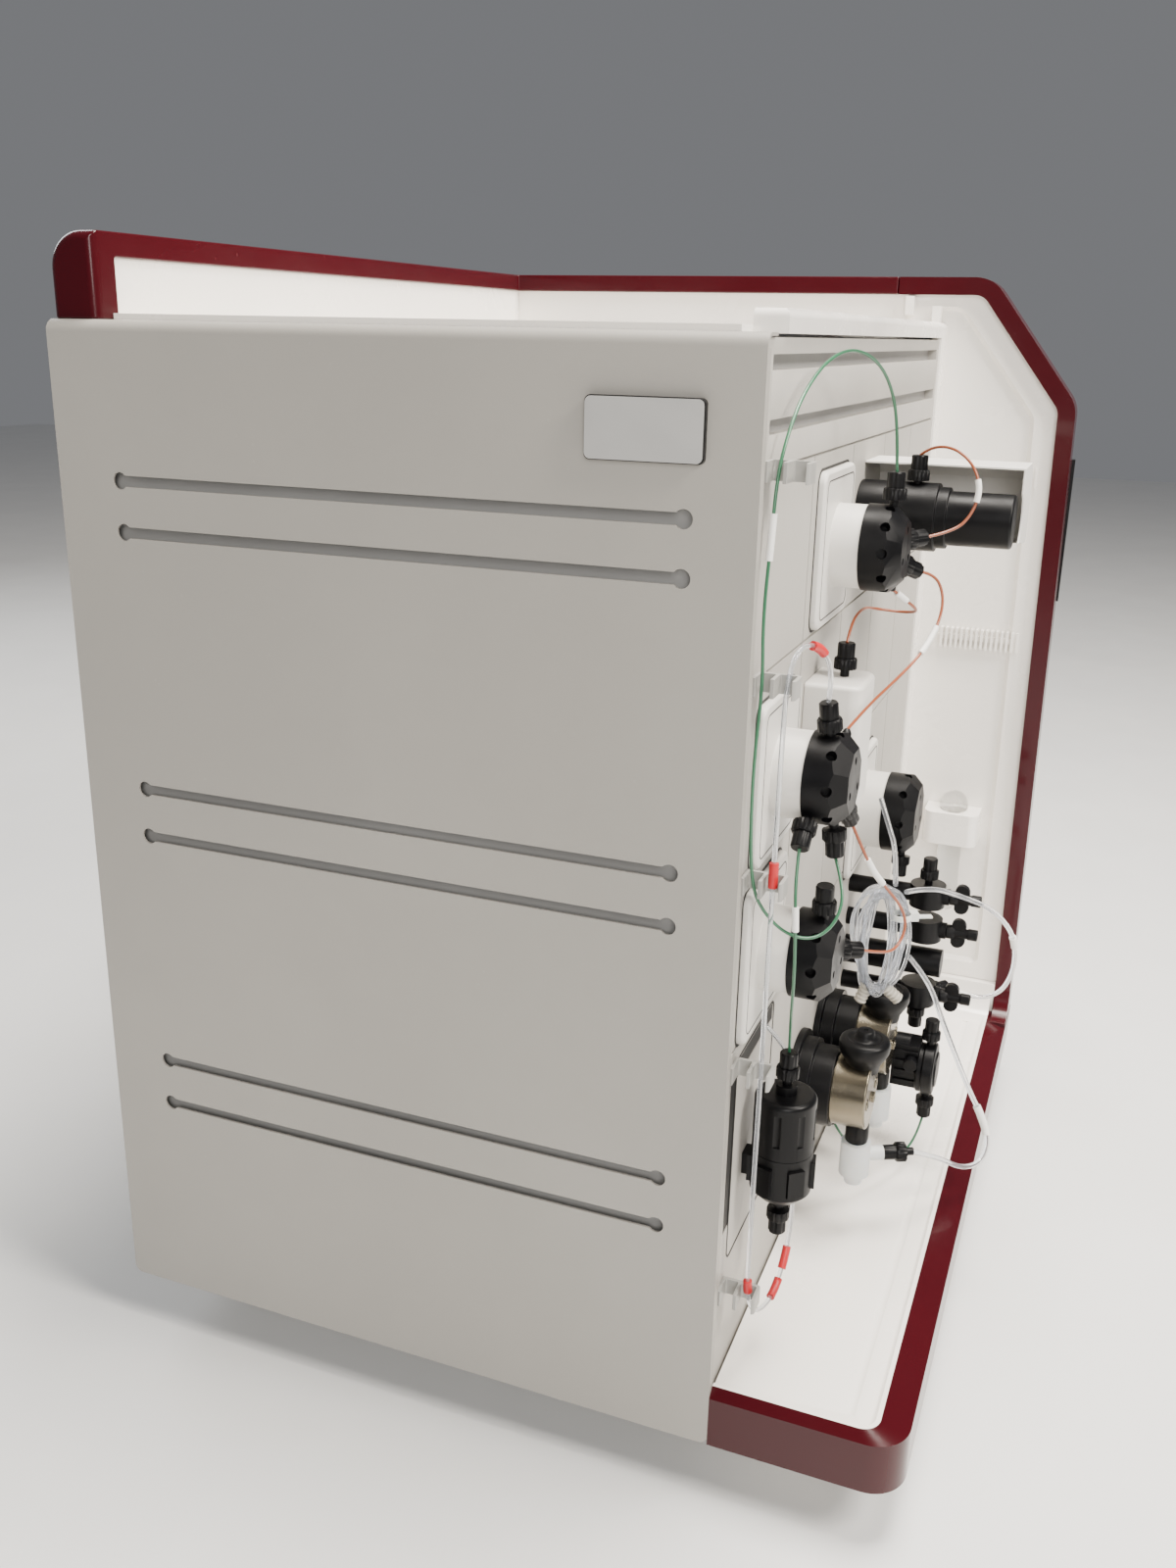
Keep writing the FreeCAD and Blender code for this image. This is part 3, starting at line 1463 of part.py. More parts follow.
def main():
    os.makedirs("parts", exist_ok=True)
    write("side_cover", side_cover())
    write("chassis", chassis())
    write("rear_cover", rear_cover())
    write("feet", feet())
    write("right_wall", right_wall())
    write("front_trim", front_trim())
    write("top_trim", top_trim())
    write("top_tray", top_tray())
    write("drip_tray", drip_tray())
    write("wet_panel", wet_panel())
    for index, axis in enumerate(valve_axes):
        write(f"valve_base_{index + 1}", valve_base_solid(axis, valve_radii[index] - 0.8))
        write(f"valve_head_{index + 1}", valve_head(axis, valve_radii[index], valve_facets[index]))
    write("tube_fittings", tube_fittings())
    write("uv_cell", uv_cell())
    write("uv_cover", uv_cover())
    write("conductivity_block", conductivity_block())
    for side, x in zip(("left", "right"), pump_places()):
        write(f"pump_body_{side}", pump_body_solid(x))
        write(f"pump_head_{side}", pump_head_solid(x))
        write(f"piston_{side}", piston_solid(x))
    write("check_valves", check_valves())
    write("rinse_chambers", rinse_chamber())
    write("pressure_monitor", pressure_monitor())
    write("purge_valves", purge_valves())
    for index, height in enumerate(purge_heights):
        write(f"purge_knob_{index + 1}", purge_knob(height))
    write("mixer_cap", mixer_cap())
    write("mixer_chamber", mixer_chamber())
    write("tube_clips", tube_clips())
    write("tube_holder", tube_holder())
    write("rinse_tube", rinse_tube())
    write("control_panel", control_panel())
    for name, height in zip(("power", "pause", "continue"), button_heights):
        write(f"button_{name}", button(height))
    write("mains_inlet", mains_inlet())
    write("power_rocker", power_rocker())
    write("fan_rotor", fan_rotor())
    write("asset_plate", asset_plate())
    write("tube_hank", tube_hank())
    for name, (diameter, points) in tube_routes().items():
        write(name, tube(name, [V(*point) for point in points], diameter))


main()
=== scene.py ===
"""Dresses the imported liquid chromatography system: finishes, tubing, nuts, markers, stage and camera."""
import json
import math

import bmesh
import bpy
from bpy.props import FloatProperty, FloatVectorProperty, IntProperty, PointerProperty
from mathutils import Matrix, Vector


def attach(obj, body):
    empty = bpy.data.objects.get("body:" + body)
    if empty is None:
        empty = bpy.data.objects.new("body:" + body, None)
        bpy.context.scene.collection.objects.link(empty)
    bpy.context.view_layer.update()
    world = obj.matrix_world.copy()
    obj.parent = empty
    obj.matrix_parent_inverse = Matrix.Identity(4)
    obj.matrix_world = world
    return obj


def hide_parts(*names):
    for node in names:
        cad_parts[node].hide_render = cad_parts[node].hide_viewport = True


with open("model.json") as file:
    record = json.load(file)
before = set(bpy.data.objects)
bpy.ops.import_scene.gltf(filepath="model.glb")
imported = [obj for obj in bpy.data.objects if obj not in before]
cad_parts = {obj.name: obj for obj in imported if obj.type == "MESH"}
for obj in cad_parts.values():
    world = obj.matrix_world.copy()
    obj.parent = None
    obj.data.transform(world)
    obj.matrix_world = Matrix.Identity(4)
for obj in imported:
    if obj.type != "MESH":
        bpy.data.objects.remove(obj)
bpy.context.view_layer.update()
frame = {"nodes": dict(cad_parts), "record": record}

bl_info = {
    "name": "Chromatography system dressing",
    "version": (1, 0, 0),
    "blender": (4, 5, 0),
    "location": "View3D > Sidebar > Chromatography",
    "description": "Finishes, tubing, nuts, markers and stage for the bench-top chromatography system",
    "category": "Object",
}

MM = 0.001
NODES = frame["nodes"]


# Sizes and colours that a user would change

COLOUR = {"subtype": "COLOR", "size": 3, "min": 0.0, "max": 1.0}
LENGTH = {"subtype": "DISTANCE", "unit": "LENGTH"}


class ShellSettings(bpy.types.PropertyGroup):
    cover_colour: FloatVectorProperty(
        name="Cover paint", description="Warm grey of the folded side cover",
        default=(0.315, 0.30, 0.272), **COLOUR)
    shell_colour: FloatVectorProperty(
        name="White moulding", description="Gloss white of the surround and the trays",
        default=(0.90, 0.865, 0.81), **COLOUR)
    trim_colour: FloatVectorProperty(
        name="Trim strip", description="Dark red of the gloss trim strip",
        default=(0.040, 0.0018, 0.0042), **COLOUR)
    panel_colour: FloatVectorProperty(
        name="Wet panel", description="Warm grey of the panel behind the modules",
        default=(0.40, 0.382, 0.35), **COLOUR)
    edge_round: FloatProperty(
        name="Edge rounding", description="Width of the softened edge on mouldings",
        min=0.0, max=0.003, default=0.0006, **LENGTH)


class WetSettings(bpy.types.PropertyGroup):
    black_colour: FloatVectorProperty(
        name="Black plastic", description="Satin black of valve heads and nuts",
        default=(0.0032, 0.0032, 0.0038), **COLOUR)
    base_colour: FloatVectorProperty(
        name="Module plates", description="Off-white of valve bases and blocks",
        default=(0.66, 0.64, 0.60), **COLOUR)
    green_colour: FloatVectorProperty(
        name="Green tube", description="Green tubing",
        default=(0.024, 0.125, 0.058), **COLOUR)
    orange_colour: FloatVectorProperty(
        name="Orange tube", description="Orange brown tubing",
        default=(0.27, 0.062, 0.018), **COLOUR)
    fine_tube: FloatProperty(
        name="Fine tube", description="Outside diameter of the fine tubing",
        min=0.0005, max=0.004, default=0.0016, **LENGTH)
    soft_tube: FloatProperty(
        name="Soft tube", description="Outside diameter of the soft tubing",
        min=0.001, max=0.006, default=0.0032, **LENGTH)
    hank_tube: FloatProperty(
        name="Hank tube", description="Outside diameter of the tube in the hank",
        min=0.001, max=0.006, default=0.0022, **LENGTH)
    inlet_tube: FloatProperty(
        name="Inlet tube", description="Outside diameter of the inlet tubing",
        min=0.001, max=0.006, default=0.0024, **LENGTH)
    hank_turns: IntProperty(
        name="Hank turns", description="Turns of spare tube in the tied hank", min=3, max=14, default=11)
    nut_flutes: IntProperty(
        name="Nut flutes", description="Flutes round the collar of a tube nut", min=6, max=24, default=12)


class StageSettings(bpy.types.PropertyGroup):
    floor_colour: FloatVectorProperty(
        name="Floor", description="Plain pale floor",
        default=(0.78, 0.78, 0.77), **COLOUR)
    key_power: FloatProperty(
        name="Key light", description="Power of the large light over the front", unit="POWER",
        min=0.0, default=52.0)
    lens: FloatProperty(
        name="Lens", description="Focal length for a 36 mm sensor, in millimetres",
        min=10.0, max=200.0, default=31.894)


def shell():
    return bpy.context.scene.fplc_shell


def wet():
    return bpy.context.scene.fplc_wet


def stage():
    return bpy.context.scene.fplc_stage


# Node groups shared by the finishes

def new_group(name, inputs, outputs):
    """An empty shader group with float or vector sockets."""
    group = bpy.data.node_groups.new(name, "ShaderNodeTree")
    for label, kind, value in inputs:
        socket = group.interface.new_socket(label, in_out="INPUT", socket_type=kind)
        if value is not None:
            socket.default_value = value
    for label, kind in outputs:
        group.interface.new_socket(label, in_out="OUTPUT", socket_type=kind)
    return group, group.nodes.new("NodeGroupInput"), group.nodes.new("NodeGroupOutput")


def math_node(tree, operation, first, second=None, clamp=False):
    """A Math node; each operand is a socket or a number."""
    node = tree.nodes.new("ShaderNodeMath")
    node.operation = operation
    node.use_clamp = clamp
    for slot, value in enumerate((first, second)):
        if value is None:
            continue
        if isinstance(value, (int, float)):
            node.inputs[slot].default_value = value
        else:
            tree.links.new(value, node.inputs[slot])
    return node.outputs[0]


def noise_node(tree, vector, scale, detail=3.0, roughness=0.55, distortion=0.0):
    """A Noise Texture and its Fac output."""
    node = tree.nodes.new("ShaderNodeTexNoise")
    node.inputs["Detail"].default_value = detail
    node.inputs["Roughness"].default_value = roughness
    node.inputs["Distortion"].default_value = distortion
    if isinstance(scale, (int, float)):
        node.inputs["Scale"].default_value = scale
    else:
        tree.links.new(scale, node.inputs["Scale"])
    tree.links.new(vector, node.inputs["Vector"])
    return node.outputs["Fac"]


def ramp_node(tree, value, low, high):
    """Maps low..high to 0..1 smoothly."""
    node = tree.nodes.new("ShaderNodeMapRange")
    node.interpolation_type = "SMOOTHSTEP"
    node.inputs["From Min"].default_value = low
    node.inputs["From Max"].default_value = high
    tree.links.new(value, node.inputs["Value"])
    return node.outputs["Result"]


def grain_group():
    """Fine surface texture with a slow drift of shade."""
    group, inside, outside = new_group(
        "fine_grain",
        [("Vector", "NodeSocketVector", None), ("Scale", "NodeSocketFloat", 900.0)],
        [("Height", "NodeSocketFloat"), ("Shade", "NodeSocketFloat")])
    vector = inside.outputs["Vector"]
    fine = noise_node(group, vector, inside.outputs["Scale"], 2.0, 0.6)
    coarse_scale = math_node(group, "MULTIPLY", inside.outputs["Scale"], 0.21)
    coarse = noise_node(group, vector, coarse_scale, 2.0, 0.5)
    weighted = math_node(group, "MULTIPLY", coarse, 0.45)
    group.links.new(math_node(group, "ADD", fine, weighted), outside.inputs["Height"])
    shade = ramp_node(group, noise_node(group, vector, 5.5, 4.0, 0.6), 0.35, 0.68)
    group.links.new(shade, outside.inputs["Shade"])
    return group


def handling_group():
    """Wiped and fingered patches that change the gloss."""
    group, inside, outside = new_group(
        "handling_marks",
        [("Vector", "NodeSocketVector", None), ("Scale", "NodeSocketFloat", 14.0)],
        [("Mask", "NodeSocketFloat")])
    vector = inside.outputs["Vector"]
    broad = ramp_node(group, noise_node(group, vector, inside.outputs["Scale"], 5.0, 0.62, 0.6), 0.38, 0.7)
    streak_scale = math_node(group, "MULTIPLY", inside.outputs["Scale"], 6.0)
    streak = noise_node(group, vector, streak_scale, 3.0, 0.7, 1.2)
    mixed = math_node(group, "MULTIPLY", broad, math_node(group, "ADD", streak, 0.35), clamp=True)
    group.links.new(mixed, outside.inputs["Mask"])
    return group


def specks_group():
    """Sparse small specks and scuffs."""
    group, inside, outside = new_group(
        "specks",
        [("Vector", "NodeSocketVector", None), ("Scale", "NodeSocketFloat", 160.0)],
        [("Mask", "NodeSocketFloat")])
    vector = inside.outputs["Vector"]
    cells = group.nodes.new("ShaderNodeTexVoronoi")
    group.links.new(vector, cells.inputs["Vector"])
    group.links.new(inside.outputs["Scale"], cells.inputs["Scale"])
    dots = ramp_node(group, cells.outputs["Distance"], 0.16, 0.06)
    sparse = ramp_node(group, noise_node(group, vector, 31.0, 2.0), 0.58, 0.72)
    group.links.new(math_node(group, "MULTIPLY", dots, sparse), outside.inputs["Mask"])
    return group


def shared(name):
    """The named group, made on first use."""
    makers = {"fine_grain": grain_group, "handling_marks": handling_group, "specks": specks_group}
    return bpy.data.node_groups.get(name) or makers[name]()


def place_group(tree, name, vector, scale):
    """One of the shared groups in a material."""
    node = tree.nodes.new("ShaderNodeGroup")
    node.node_tree = shared(name)
    node.inputs["Scale"].default_value = scale
    tree.links.new(vector, node.inputs["Vector"])
    return node


def mix_colour(tree, factor, first, second):
    """Mixes two colours or colour sockets."""
    node = tree.nodes.new("ShaderNodeMix")
    node.data_type = "RGBA"
    tree.links.new(factor, node.inputs["Factor"])
    for label, value in (("A", first), ("B", second)):
        socket = next(s for s in node.inputs if s.name == label and s.type == "RGBA")
        if isinstance(value, bpy.types.NodeSocket):
            tree.links.new(value, socket)
        else:
            socket.default_value = (*value, 1.0)
    return next(s for s in node.outputs if s.type == "RGBA")


def tint(colour, factor):
    """A lighter or darker shade of a colour."""
    return tuple(min(1.0, part * factor) for part in colour)


FINISHES = {}


def finish(name, colour, roughness, grain=900.0, bump=0.00002, vary=0.06, gloss_drift=0.12, specks=0.0,
           speck_colour=(0.75, 0.74, 0.71), metallic=0.0, coat=0.0, coat_roughness=0.08, specular=0.5,
           clear=0.0, ior=1.5, marks=14.0, soft=0.0):
    """A painted, moulded or metal finish with grain, drifting shade and handling marks."""
    if name in FINISHES:
        return FINISHES[name]
    material = bpy.data.materials.new(name)
    material.use_nodes = True
    tree = material.node_tree
    shader = tree.nodes["Principled BSDF"]
    vector = tree.nodes.new("ShaderNodeTexCoord").outputs["Object"]
    texture = place_group(tree, "fine_grain", vector, grain)
    marked = place_group(tree, "handling_marks", vector, marks)
    darker, lighter = tint(colour, 1.0 - vary), tint(colour, 1.0 + vary * 0.4)
    base = mix_colour(tree, texture.outputs["Shade"], darker, lighter)
    if specks > 0.0:
        dots = place_group(tree, "specks", vector, 160.0)
        amount = math_node(tree, "MULTIPLY", dots.outputs["Mask"], specks)
        base = mix_colour(tree, amount, base, speck_colour)
    tree.links.new(base, shader.inputs["Base Color"])
    drift = math_node(tree, "MULTIPLY", marked.outputs["Mask"], gloss_drift)
    tree.links.new(math_node(tree, "ADD", drift, roughness, clamp=True), shader.inputs["Roughness"])
    relief = tree.nodes.new("ShaderNodeBump")
    relief.inputs["Strength"].default_value = 1.0
    relief.inputs["Distance"].default_value = bump
    tree.links.new(texture.outputs["Height"], relief.inputs["Height"])
    tree.links.new(relief.outputs["Normal"], shader.inputs["Normal"])
    shader.inputs["Metallic"].default_value = metallic
    shader.inputs["Coat Weight"].default_value = coat
    shader.inputs["Coat Roughness"].default_value = coat_roughness
    shader.inputs["Specular IOR Level"].default_value = specular
    shader.inputs["IOR"].default_value = ior
    shader.inputs["Transmission Weight"].default_value = clear
    shader.inputs["Subsurface Weight"].default_value = soft
    shader.inputs["Subsurface Radius"].default_value = (0.004, 0.003, 0.002)
    FINISHES[name] = material
    return material


def turned_steel():
    """Brushed steel with fine rings round the pump's axis."""
    name = "turned_steel"
    if name in FINISHES:
        return FINISHES[name]
    material = finish(name, (0.21, 0.185, 0.138), 0.24, grain=700.0, vary=0.03, metallic=1.0,
                      gloss_drift=0.02)
    tree = material.node_tree
    shader = tree.nodes["Principled BSDF"]
    coordinates = next(n for n in tree.nodes if n.bl_idname == "ShaderNodeTexCoord")
    stretch = tree.nodes.new("ShaderNodeMapping")
    stretch.inputs["Scale"].default_value = (260.0, 9000.0, 260.0)
    tree.links.new(coordinates.outputs["Object"], stretch.inputs["Vector"])
    lines = noise_node(tree, stretch.outputs["Vector"], 1.0, 2.0, 0.5)
    relief = tree.nodes.new("ShaderNodeBump")
    relief.inputs["Strength"].default_value = 0.7
    relief.inputs["Distance"].default_value = 0.00004
    tree.links.new(lines, relief.inputs["Height"])
    tree.links.new(relief.outputs["Normal"], shader.inputs["Normal"])
    return material


def cover_paint():
    return finish("cover_paint", shell().cover_colour, 0.46, grain=2100.0, bump=0.00006, vary=0.035,
                  gloss_drift=0.08, specks=0.12, speck_colour=(0.46, 0.44, 0.41))


def white_moulding():
    return finish("white_moulding", shell().shell_colour, 0.2, grain=700.0, bump=0.00001, vary=0.02,
                  coat=0.35, coat_roughness=0.12, specks=0.08, speck_colour=(0.6, 0.57, 0.52))


def red_trim():
    return finish("red_trim", shell().trim_colour, 0.2, grain=600.0, bump=0.00001, vary=0.08,
                  gloss_drift=0.06, coat=0.2, coat_roughness=0.05, specular=0.2, specks=0.08,
                  speck_colour=(0.3, 0.2, 0.2), marks=22.0)


def panel_paint():
    return finish("panel_paint", shell().panel_colour, 0.5, grain=1700.0, bump=0.00004, vary=0.04)


def rear_paint():
    return finish("rear_paint", tint(shell().cover_colour, 0.96), 0.5, grain=2100.0, bump=0.00006, vary=0.05)


def inner_metal():
    return finish("inner_metal", (0.36, 0.355, 0.345), 0.5, vary=0.1)


def foot_rubber():
    return finish("foot_rubber", (0.018, 0.018, 0.018), 0.75, grain=1600.0, bump=0.00012, specular=0.3)


def module_plastic():
    return finish("module_plastic", wet().base_colour, 0.36, grain=1100.0, bump=0.00003, vary=0.04,
                  gloss_drift=0.14, specks=0.1, speck_colour=(0.4, 0.38, 0.34))


def black_plastic():
    return finish("black_plastic", wet().black_colour, 0.34, grain=1500.0, bump=0.00003, vary=0.3,
                  gloss_drift=0.16, specks=0.03, speck_colour=(0.12, 0.12, 0.12), marks=40.0, specular=0.17)


def grey_sheet():
    return finish("grey_sheet", (0.72, 0.70, 0.66), 0.42, grain=1800.0, bump=0.00004)


def ceramic():
    return finish("ceramic", (0.82, 0.81, 0.78), 0.15, grain=500.0, bump=0.000005, vary=0.02, coat=0.6)


def frosted():
    return finish("frosted", (0.78, 0.80, 0.80), 0.42, vary=0.03, clear=0.35, ior=1.45, soft=0.2)


def clip_plastic():
    return finish("clip_plastic", (0.31, 0.305, 0.285), 0.4, grain=1100.0, vary=0.04)


def clear_plastic():
    return finish("clear_plastic", (0.95, 0.96, 0.96), 0.08, grain=400.0, bump=0.000005, vary=0.02,
                  gloss_drift=0.06, clear=0.96, ior=1.22, specular=1.0)


def milky_tube():
    return finish("milky_tube", (0.88, 0.905, 0.95), 0.09, grain=300.0, bump=0.00001, vary=0.04,
                  gloss_drift=0.06, clear=0.9, ior=1.38, specular=0.8)


def green_tubing():
    return finish("green_tubing", wet().green_colour, 0.3, grain=300.0, bump=0.00001, vary=0.2, coat=0.3)


def orange_tubing():
    return finish("orange_tubing", wet().orange_colour, 0.32, grain=300.0, bump=0.00001, vary=0.2, coat=0.25)


def button_grey():
    return finish("button_grey", (0.09, 0.09, 0.092), 0.3, vary=0.08)


def tag_metal():
    return finish("tag_metal", (0.50, 0.495, 0.48), 0.4, grain=2600.0, metallic=0.55, gloss_drift=0.14)


def white_sleeve():
    return finish("white_sleeve", (0.83, 0.82, 0.79), 0.42, grain=1400.0, bump=0.00003)


def red_flag():
    return finish("red_flag", (0.50, 0.010, 0.016), 0.38, grain=1400.0, bump=0.00003, vary=0.12)


def nylon():
    return finish("nylon", (0.82, 0.84, 0.81), 0.38, vary=0.05, clear=0.15, soft=0.3)


def beige_sleeve():
    return finish("beige_sleeve", (0.66, 0.62, 0.54), 0.3, clear=0.25, ior=1.4)


# Near-black finish that paints the shade in the gaps round the cable door and the module plates.
def painted_shade_line():
    return finish("painted_shade_line", (0.035, 0.034, 0.033), 0.6, vary=0.1, specular=0.2)


# Making pieces

MERGE_DISTANCE = 2e-6
FLAT_ANGLE = 0.6


def add_object(name, mesh, material, body):
    """A finished piece: its mesh in place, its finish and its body."""
    piece = bpy.data.objects.new(name, mesh)
    bpy.context.scene.collection.objects.link(piece)
    mesh.materials.clear()
    mesh.materials.append(material)
    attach(piece, body)
    return piece


def body_of_node(node):
    """The body that carries a CAD node."""
    for body, names in frame["record"]["behaviour"]["bodies"].items():
        if node in names:
            return body
    raise ValueError("no body carries " + node)


def shade_by_angle(mesh, degrees):
    """Smooth shading with the edges over an angle kept sharp."""
    work = bmesh.new()
    work.from_mesh(mesh)
    for face in work.faces:
        face.smooth = True
    limit = math.radians(degrees)
    for edge in work.edges:
        edge.smooth = not (len(edge.link_faces) == 2 and edge.calc_face_angle(0.0) > limit)
    work.to_mesh(mesh)
    work.free()


def softened(node, material, width=0.5, segments=2, angle=32.0, flats=True):
    """Stands in for a CAD node with the same shape and softened edges; flats joins coplanar triangles."""
    source = NODES[node]
    work = bmesh.new()
    work.from_mesh(source.data)
    work.transform(source.matrix_world)
    bmesh.ops.remove_doubles(work, verts=work.verts, dist=MERGE_DISTANCE)
    if flats:
        bmesh.ops.dissolve_limit(work, angle_limit=math.radians(FLAT_ANGLE), verts=work.verts,
                                 edges=work.edges)
    mesh = bpy.data.meshes.new(node + "_finished")
    work.to_mesh(mesh)
    work.free()
    shade_by_angle(mesh, angle)
    piece = add_object(node + "_finished", mesh, material, body_of_node(node))
    round_edges(piece, width, segments, angle)
    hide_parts(node)
    return piece


def round_edges(piece, width, segments=2, angle=32.0):
    """A live bevel on the sharp edges of a piece, width in millimetres."""
    bevel = piece.modifiers.new("softened edges", "BEVEL")
    bevel.width = width * MM
    bevel.segments = segments
    bevel.limit_method = "ANGLE"
    bevel.angle_limit = math.radians(angle)
    bevel.use_clamp_overlap = True
    bevel.harden_normals = True
    bevel.miter_outer = "MITER_ARC"


def plain(node, material):
    """Gives a CAD node that keeps its own mesh a new finish."""
    piece = NODES[node]
    piece.data.materials.clear()
    piece.data.materials.append(material)


def spun(profile, steps=32):
    """A closed turned shape about Z from points of radius and height, in millimetres."""
    work = bmesh.new()
    points = [work.verts.new((radius * MM, 0.0, height * MM)) for radius, height in profile]
    edges = [work.edges.new(pair) for pair in zip(points, points[1:])]
    bmesh.ops.spin(work, geom=points + edges, cent=(0, 0, 0), axis=(0, 0, 1), angle=math.tau,
                   steps=steps, use_merge=True, use_duplicate=False)
    bmesh.ops.remove_doubles(work, verts=work.verts, dist=1e-6)
    holes = [edge for edge in work.edges if edge.is_boundary]
    if holes:
        bmesh.ops.holes_fill(work, edges=holes, sides=0)
    bmesh.ops.recalc_face_normals(work, faces=work.faces)
    return work


def turned_to(direction, place):
    """A matrix that takes +Z to a direction and the origin to a place in millimetres."""
    rotation = Vector(direction).normalized().to_track_quat("Z", "Y").to_matrix().to_4x4()
    return Matrix.Translation(Vector(place) * MM) @ rotation


def mesh_from(work, name):
    """A mesh from a finished bmesh, which is freed."""
    mesh = bpy.data.meshes.new(name)
    work.to_mesh(mesh)
    work.free()
    return mesh


def joined(parts, name, angle=None):
    """One mesh from several (bmesh, matrix) pairs, which are freed; an angle shades it smooth."""
    total = bmesh.new()
    for work, matrix in parts:
        copy = work.copy()
        copy.transform(matrix)
        part = mesh_from(copy, "part")
        total.from_mesh(part)
        bpy.data.meshes.remove(part)
    for work in {id(work): work for work, matrix in parts}.values():
        work.free()
    mesh = mesh_from(total, name)
    if angle is not None:
        shade_by_angle(mesh, angle)
    return mesh


def fixed_piece(name, parts, material, angle=None):
    """Joins parts into a piece that rides on the instrument."""
    return add_object(name, joined(parts, name, angle), material, "instrument")


# Places on the wet side, in millimetres

VALVE_AXES = ((-111.0, 484.0), (-208.0, 387.0), (-213.0, 297.0), (44.0, 290.0))
VALVE_RADII = (22.5, 22.5, 22.5, 26.0)
PANEL_FRONT = -126.5
HEAD_FRONT = -166.5
PORT_MIDDLE = HEAD_FRONT + 8.25
NUT_LENGTH = 18.0
FERRULE_LENGTH = 5.0
NUT_STEM = 4.0
NUT_COLLAR = 6.0
PUMP_X = -97.0
PUMP_PITCH = 70.0
PUMP_Z = 160.0
CHECK_Y = -166.0
HANK_CENTRE = Vector((-55.0, -163.0, 240.0))
HANK_ACROSS = Vector((0.361, -0.933, 0.0))
HANK_BEND = 14.0
HANK_STRAIGHT = 38.0
HANK_RADIUS = 4.5
TUBE_GAP = 0.3
PLATE_FRONT = PANEL_FRONT - 4.0
PLATE_SIZE = (74.0, 80.0)
# Dark lines of painted shade round a plate, in its gap and just inside its edge: margin outside it, corner,
# width, plane behind the line, depth
PLATE_LINES = ((1.4, 8.0, 1.2, PANEL_FRONT, 0.3), (-4.5, 5.0, 0.6, PLATE_FRONT, 0.12))
PUMP_HEAD_FRONT = -172.5
SCREW_OFFSET = 14.0
# The cable door: left and right edges, bottom and top; a dark line round it paints the shade in the door's
# gap.
CABLE_DOOR = (-244.0, -170.0, 130.0, 248.0)
# Dark blocks of painted shade in the cable slot and in the opening beside the door: low and high corners.
CABLE_GAP_SHADES = (
    ((-244.8, -126.1, 236.2), (-172.2, -125.1, 245.8)),
    ((-252.8, -126.1, 152.2), (-243.2, -125.1, 237.8)),
)
PURGE_X = 38.0
PURGE_HEIGHTS = (238.0, 214.0, 167.0)
KNOB_FACE = -192.8
MONITOR = (8.0, -193.0, 127.5)
RINSE_TOP = 249.0
RINSE_PLACE = (237.0, -169.0)
TAG = (-104.0, 54.0, 535.5, 27.0)
TAG_FACE = -271.55
# Width of the black rim left round the tag's metal face: painted shade on the label's edges.
TAG_SHADE_RIM = 0.45
TAG_CORNER = 2.6


def radial_port(index, angle, forward, back=0.0):
    """Place and direction of a port round a valve head."""
    x, z = VALVE_AXES[index]
    radial = Vector((math.cos(math.radians(angle)), 0.0, math.sin(math.radians(angle))))
    direction = (radial + Vector((0.0, -forward, 0.0))).normalized()
    return Vector((x, PORT_MIDDLE + back, z)) + radial * (VALVE_RADII[index] - 1.5), direction


def rinse_port():
    """Side port of the left rinse chamber, whose nut sits the other way round."""
    direction = Vector((0.455, -0.89, 0.0)).normalized()
    middle = Vector((PUMP_X, CHECK_Y, PUMP_Z - 42.5))
    return middle + direction * (17.0 + NUT_LENGTH), -direction


def nut_places():
    """Every tube nut: base point and direction."""
    return {
        "valve_1_top": radial_port(0, 90, 0.0),
        "valve_1_upper": radial_port(0, 4, 0.9),
        "valve_1_lower": radial_port(0, -26, 0.75),
        "valve_2_top": radial_port(1, 98, -0.1, 4.0),
        "valve_2_left": radial_port(1, 225, 0.0, 10.0),
        "valve_2_bottom": radial_port(1, 270, 0.1),
        "valve_2_low_right": radial_port(1, 312, 0.2),
        "valve_3_top": radial_port(2, 96, 0.0),
        "valve_3_right": radial_port(2, -14, 1.2),
        "valve_4_bottom": radial_port(3, 262, 0.0),
        "uv_top": (Vector((-34.0, -158.0, 508.0)), Vector((0, 0, 1))),
        "cond_top": (Vector((-126.0, -142.5, 418.0)), Vector((0, 0, 1))),
        "mixer_top": (Vector((-217.0, -146.5, 225.0)), Vector((0, 0, 1))),
        "mixer_bottom": (Vector((-217.0, -146.5, 155.0)), Vector((0, 0, -1))),
        "purge_top": (Vector((38.0, -178.0, 245.5)), Vector((0, 0, 1))),
        "purge_side": (Vector((48.4, -183.0, 162.7)), Vector((0.8, -0.6, 0))),
        "purge_low": (Vector((38.0, -178.0, 159.5)), Vector((0, 0, -1))),
        "monitor_top": (Vector((8.0, -193.0, 145.0)), Vector((0, 0, 1))),
        "monitor_bottom": (Vector((8.0, -193.0, 110.0)), Vector((0, 0, -1))),
        "pump_inlet": rinse_port(),
        "pump_outlet": (Vector((PUMP_X + 14.0, PANEL_FRONT - 16.0, PUMP_Z - 18.0)),
                        Vector((0.25, -0.3, -0.92))),
    }


def ferrule_places():
    """Ports where a tube goes in without a nut."""
    return {"valve_1_bottom": radial_port(0, -64, 0.3), "valve_2_right": radial_port(1, 52, 0.0)}


def nut_end(name):
    """Where a tube leaves a nut or a ferrule."""
    places = nut_places()
    if name == "pump_inlet":
        return places[name][0]
    if name in places:
        base, direction = places[name]
        return base + direction.normalized() * NUT_LENGTH
    base, direction = ferrule_places()[name]
    return base + direction.normalized() * FERRULE_LENGTH


def hank_point(angle, height):
    """A point just off the hank's surface, round one of its ends."""
    reach = HANK_BEND + HANK_RADIUS + TUBE_GAP
    across = HANK_ACROSS * (reach * math.cos(math.radians(angle)))
    return HANK_CENTRE + across + Vector((0, 0, height + reach * math.sin(math.radians(angle))))


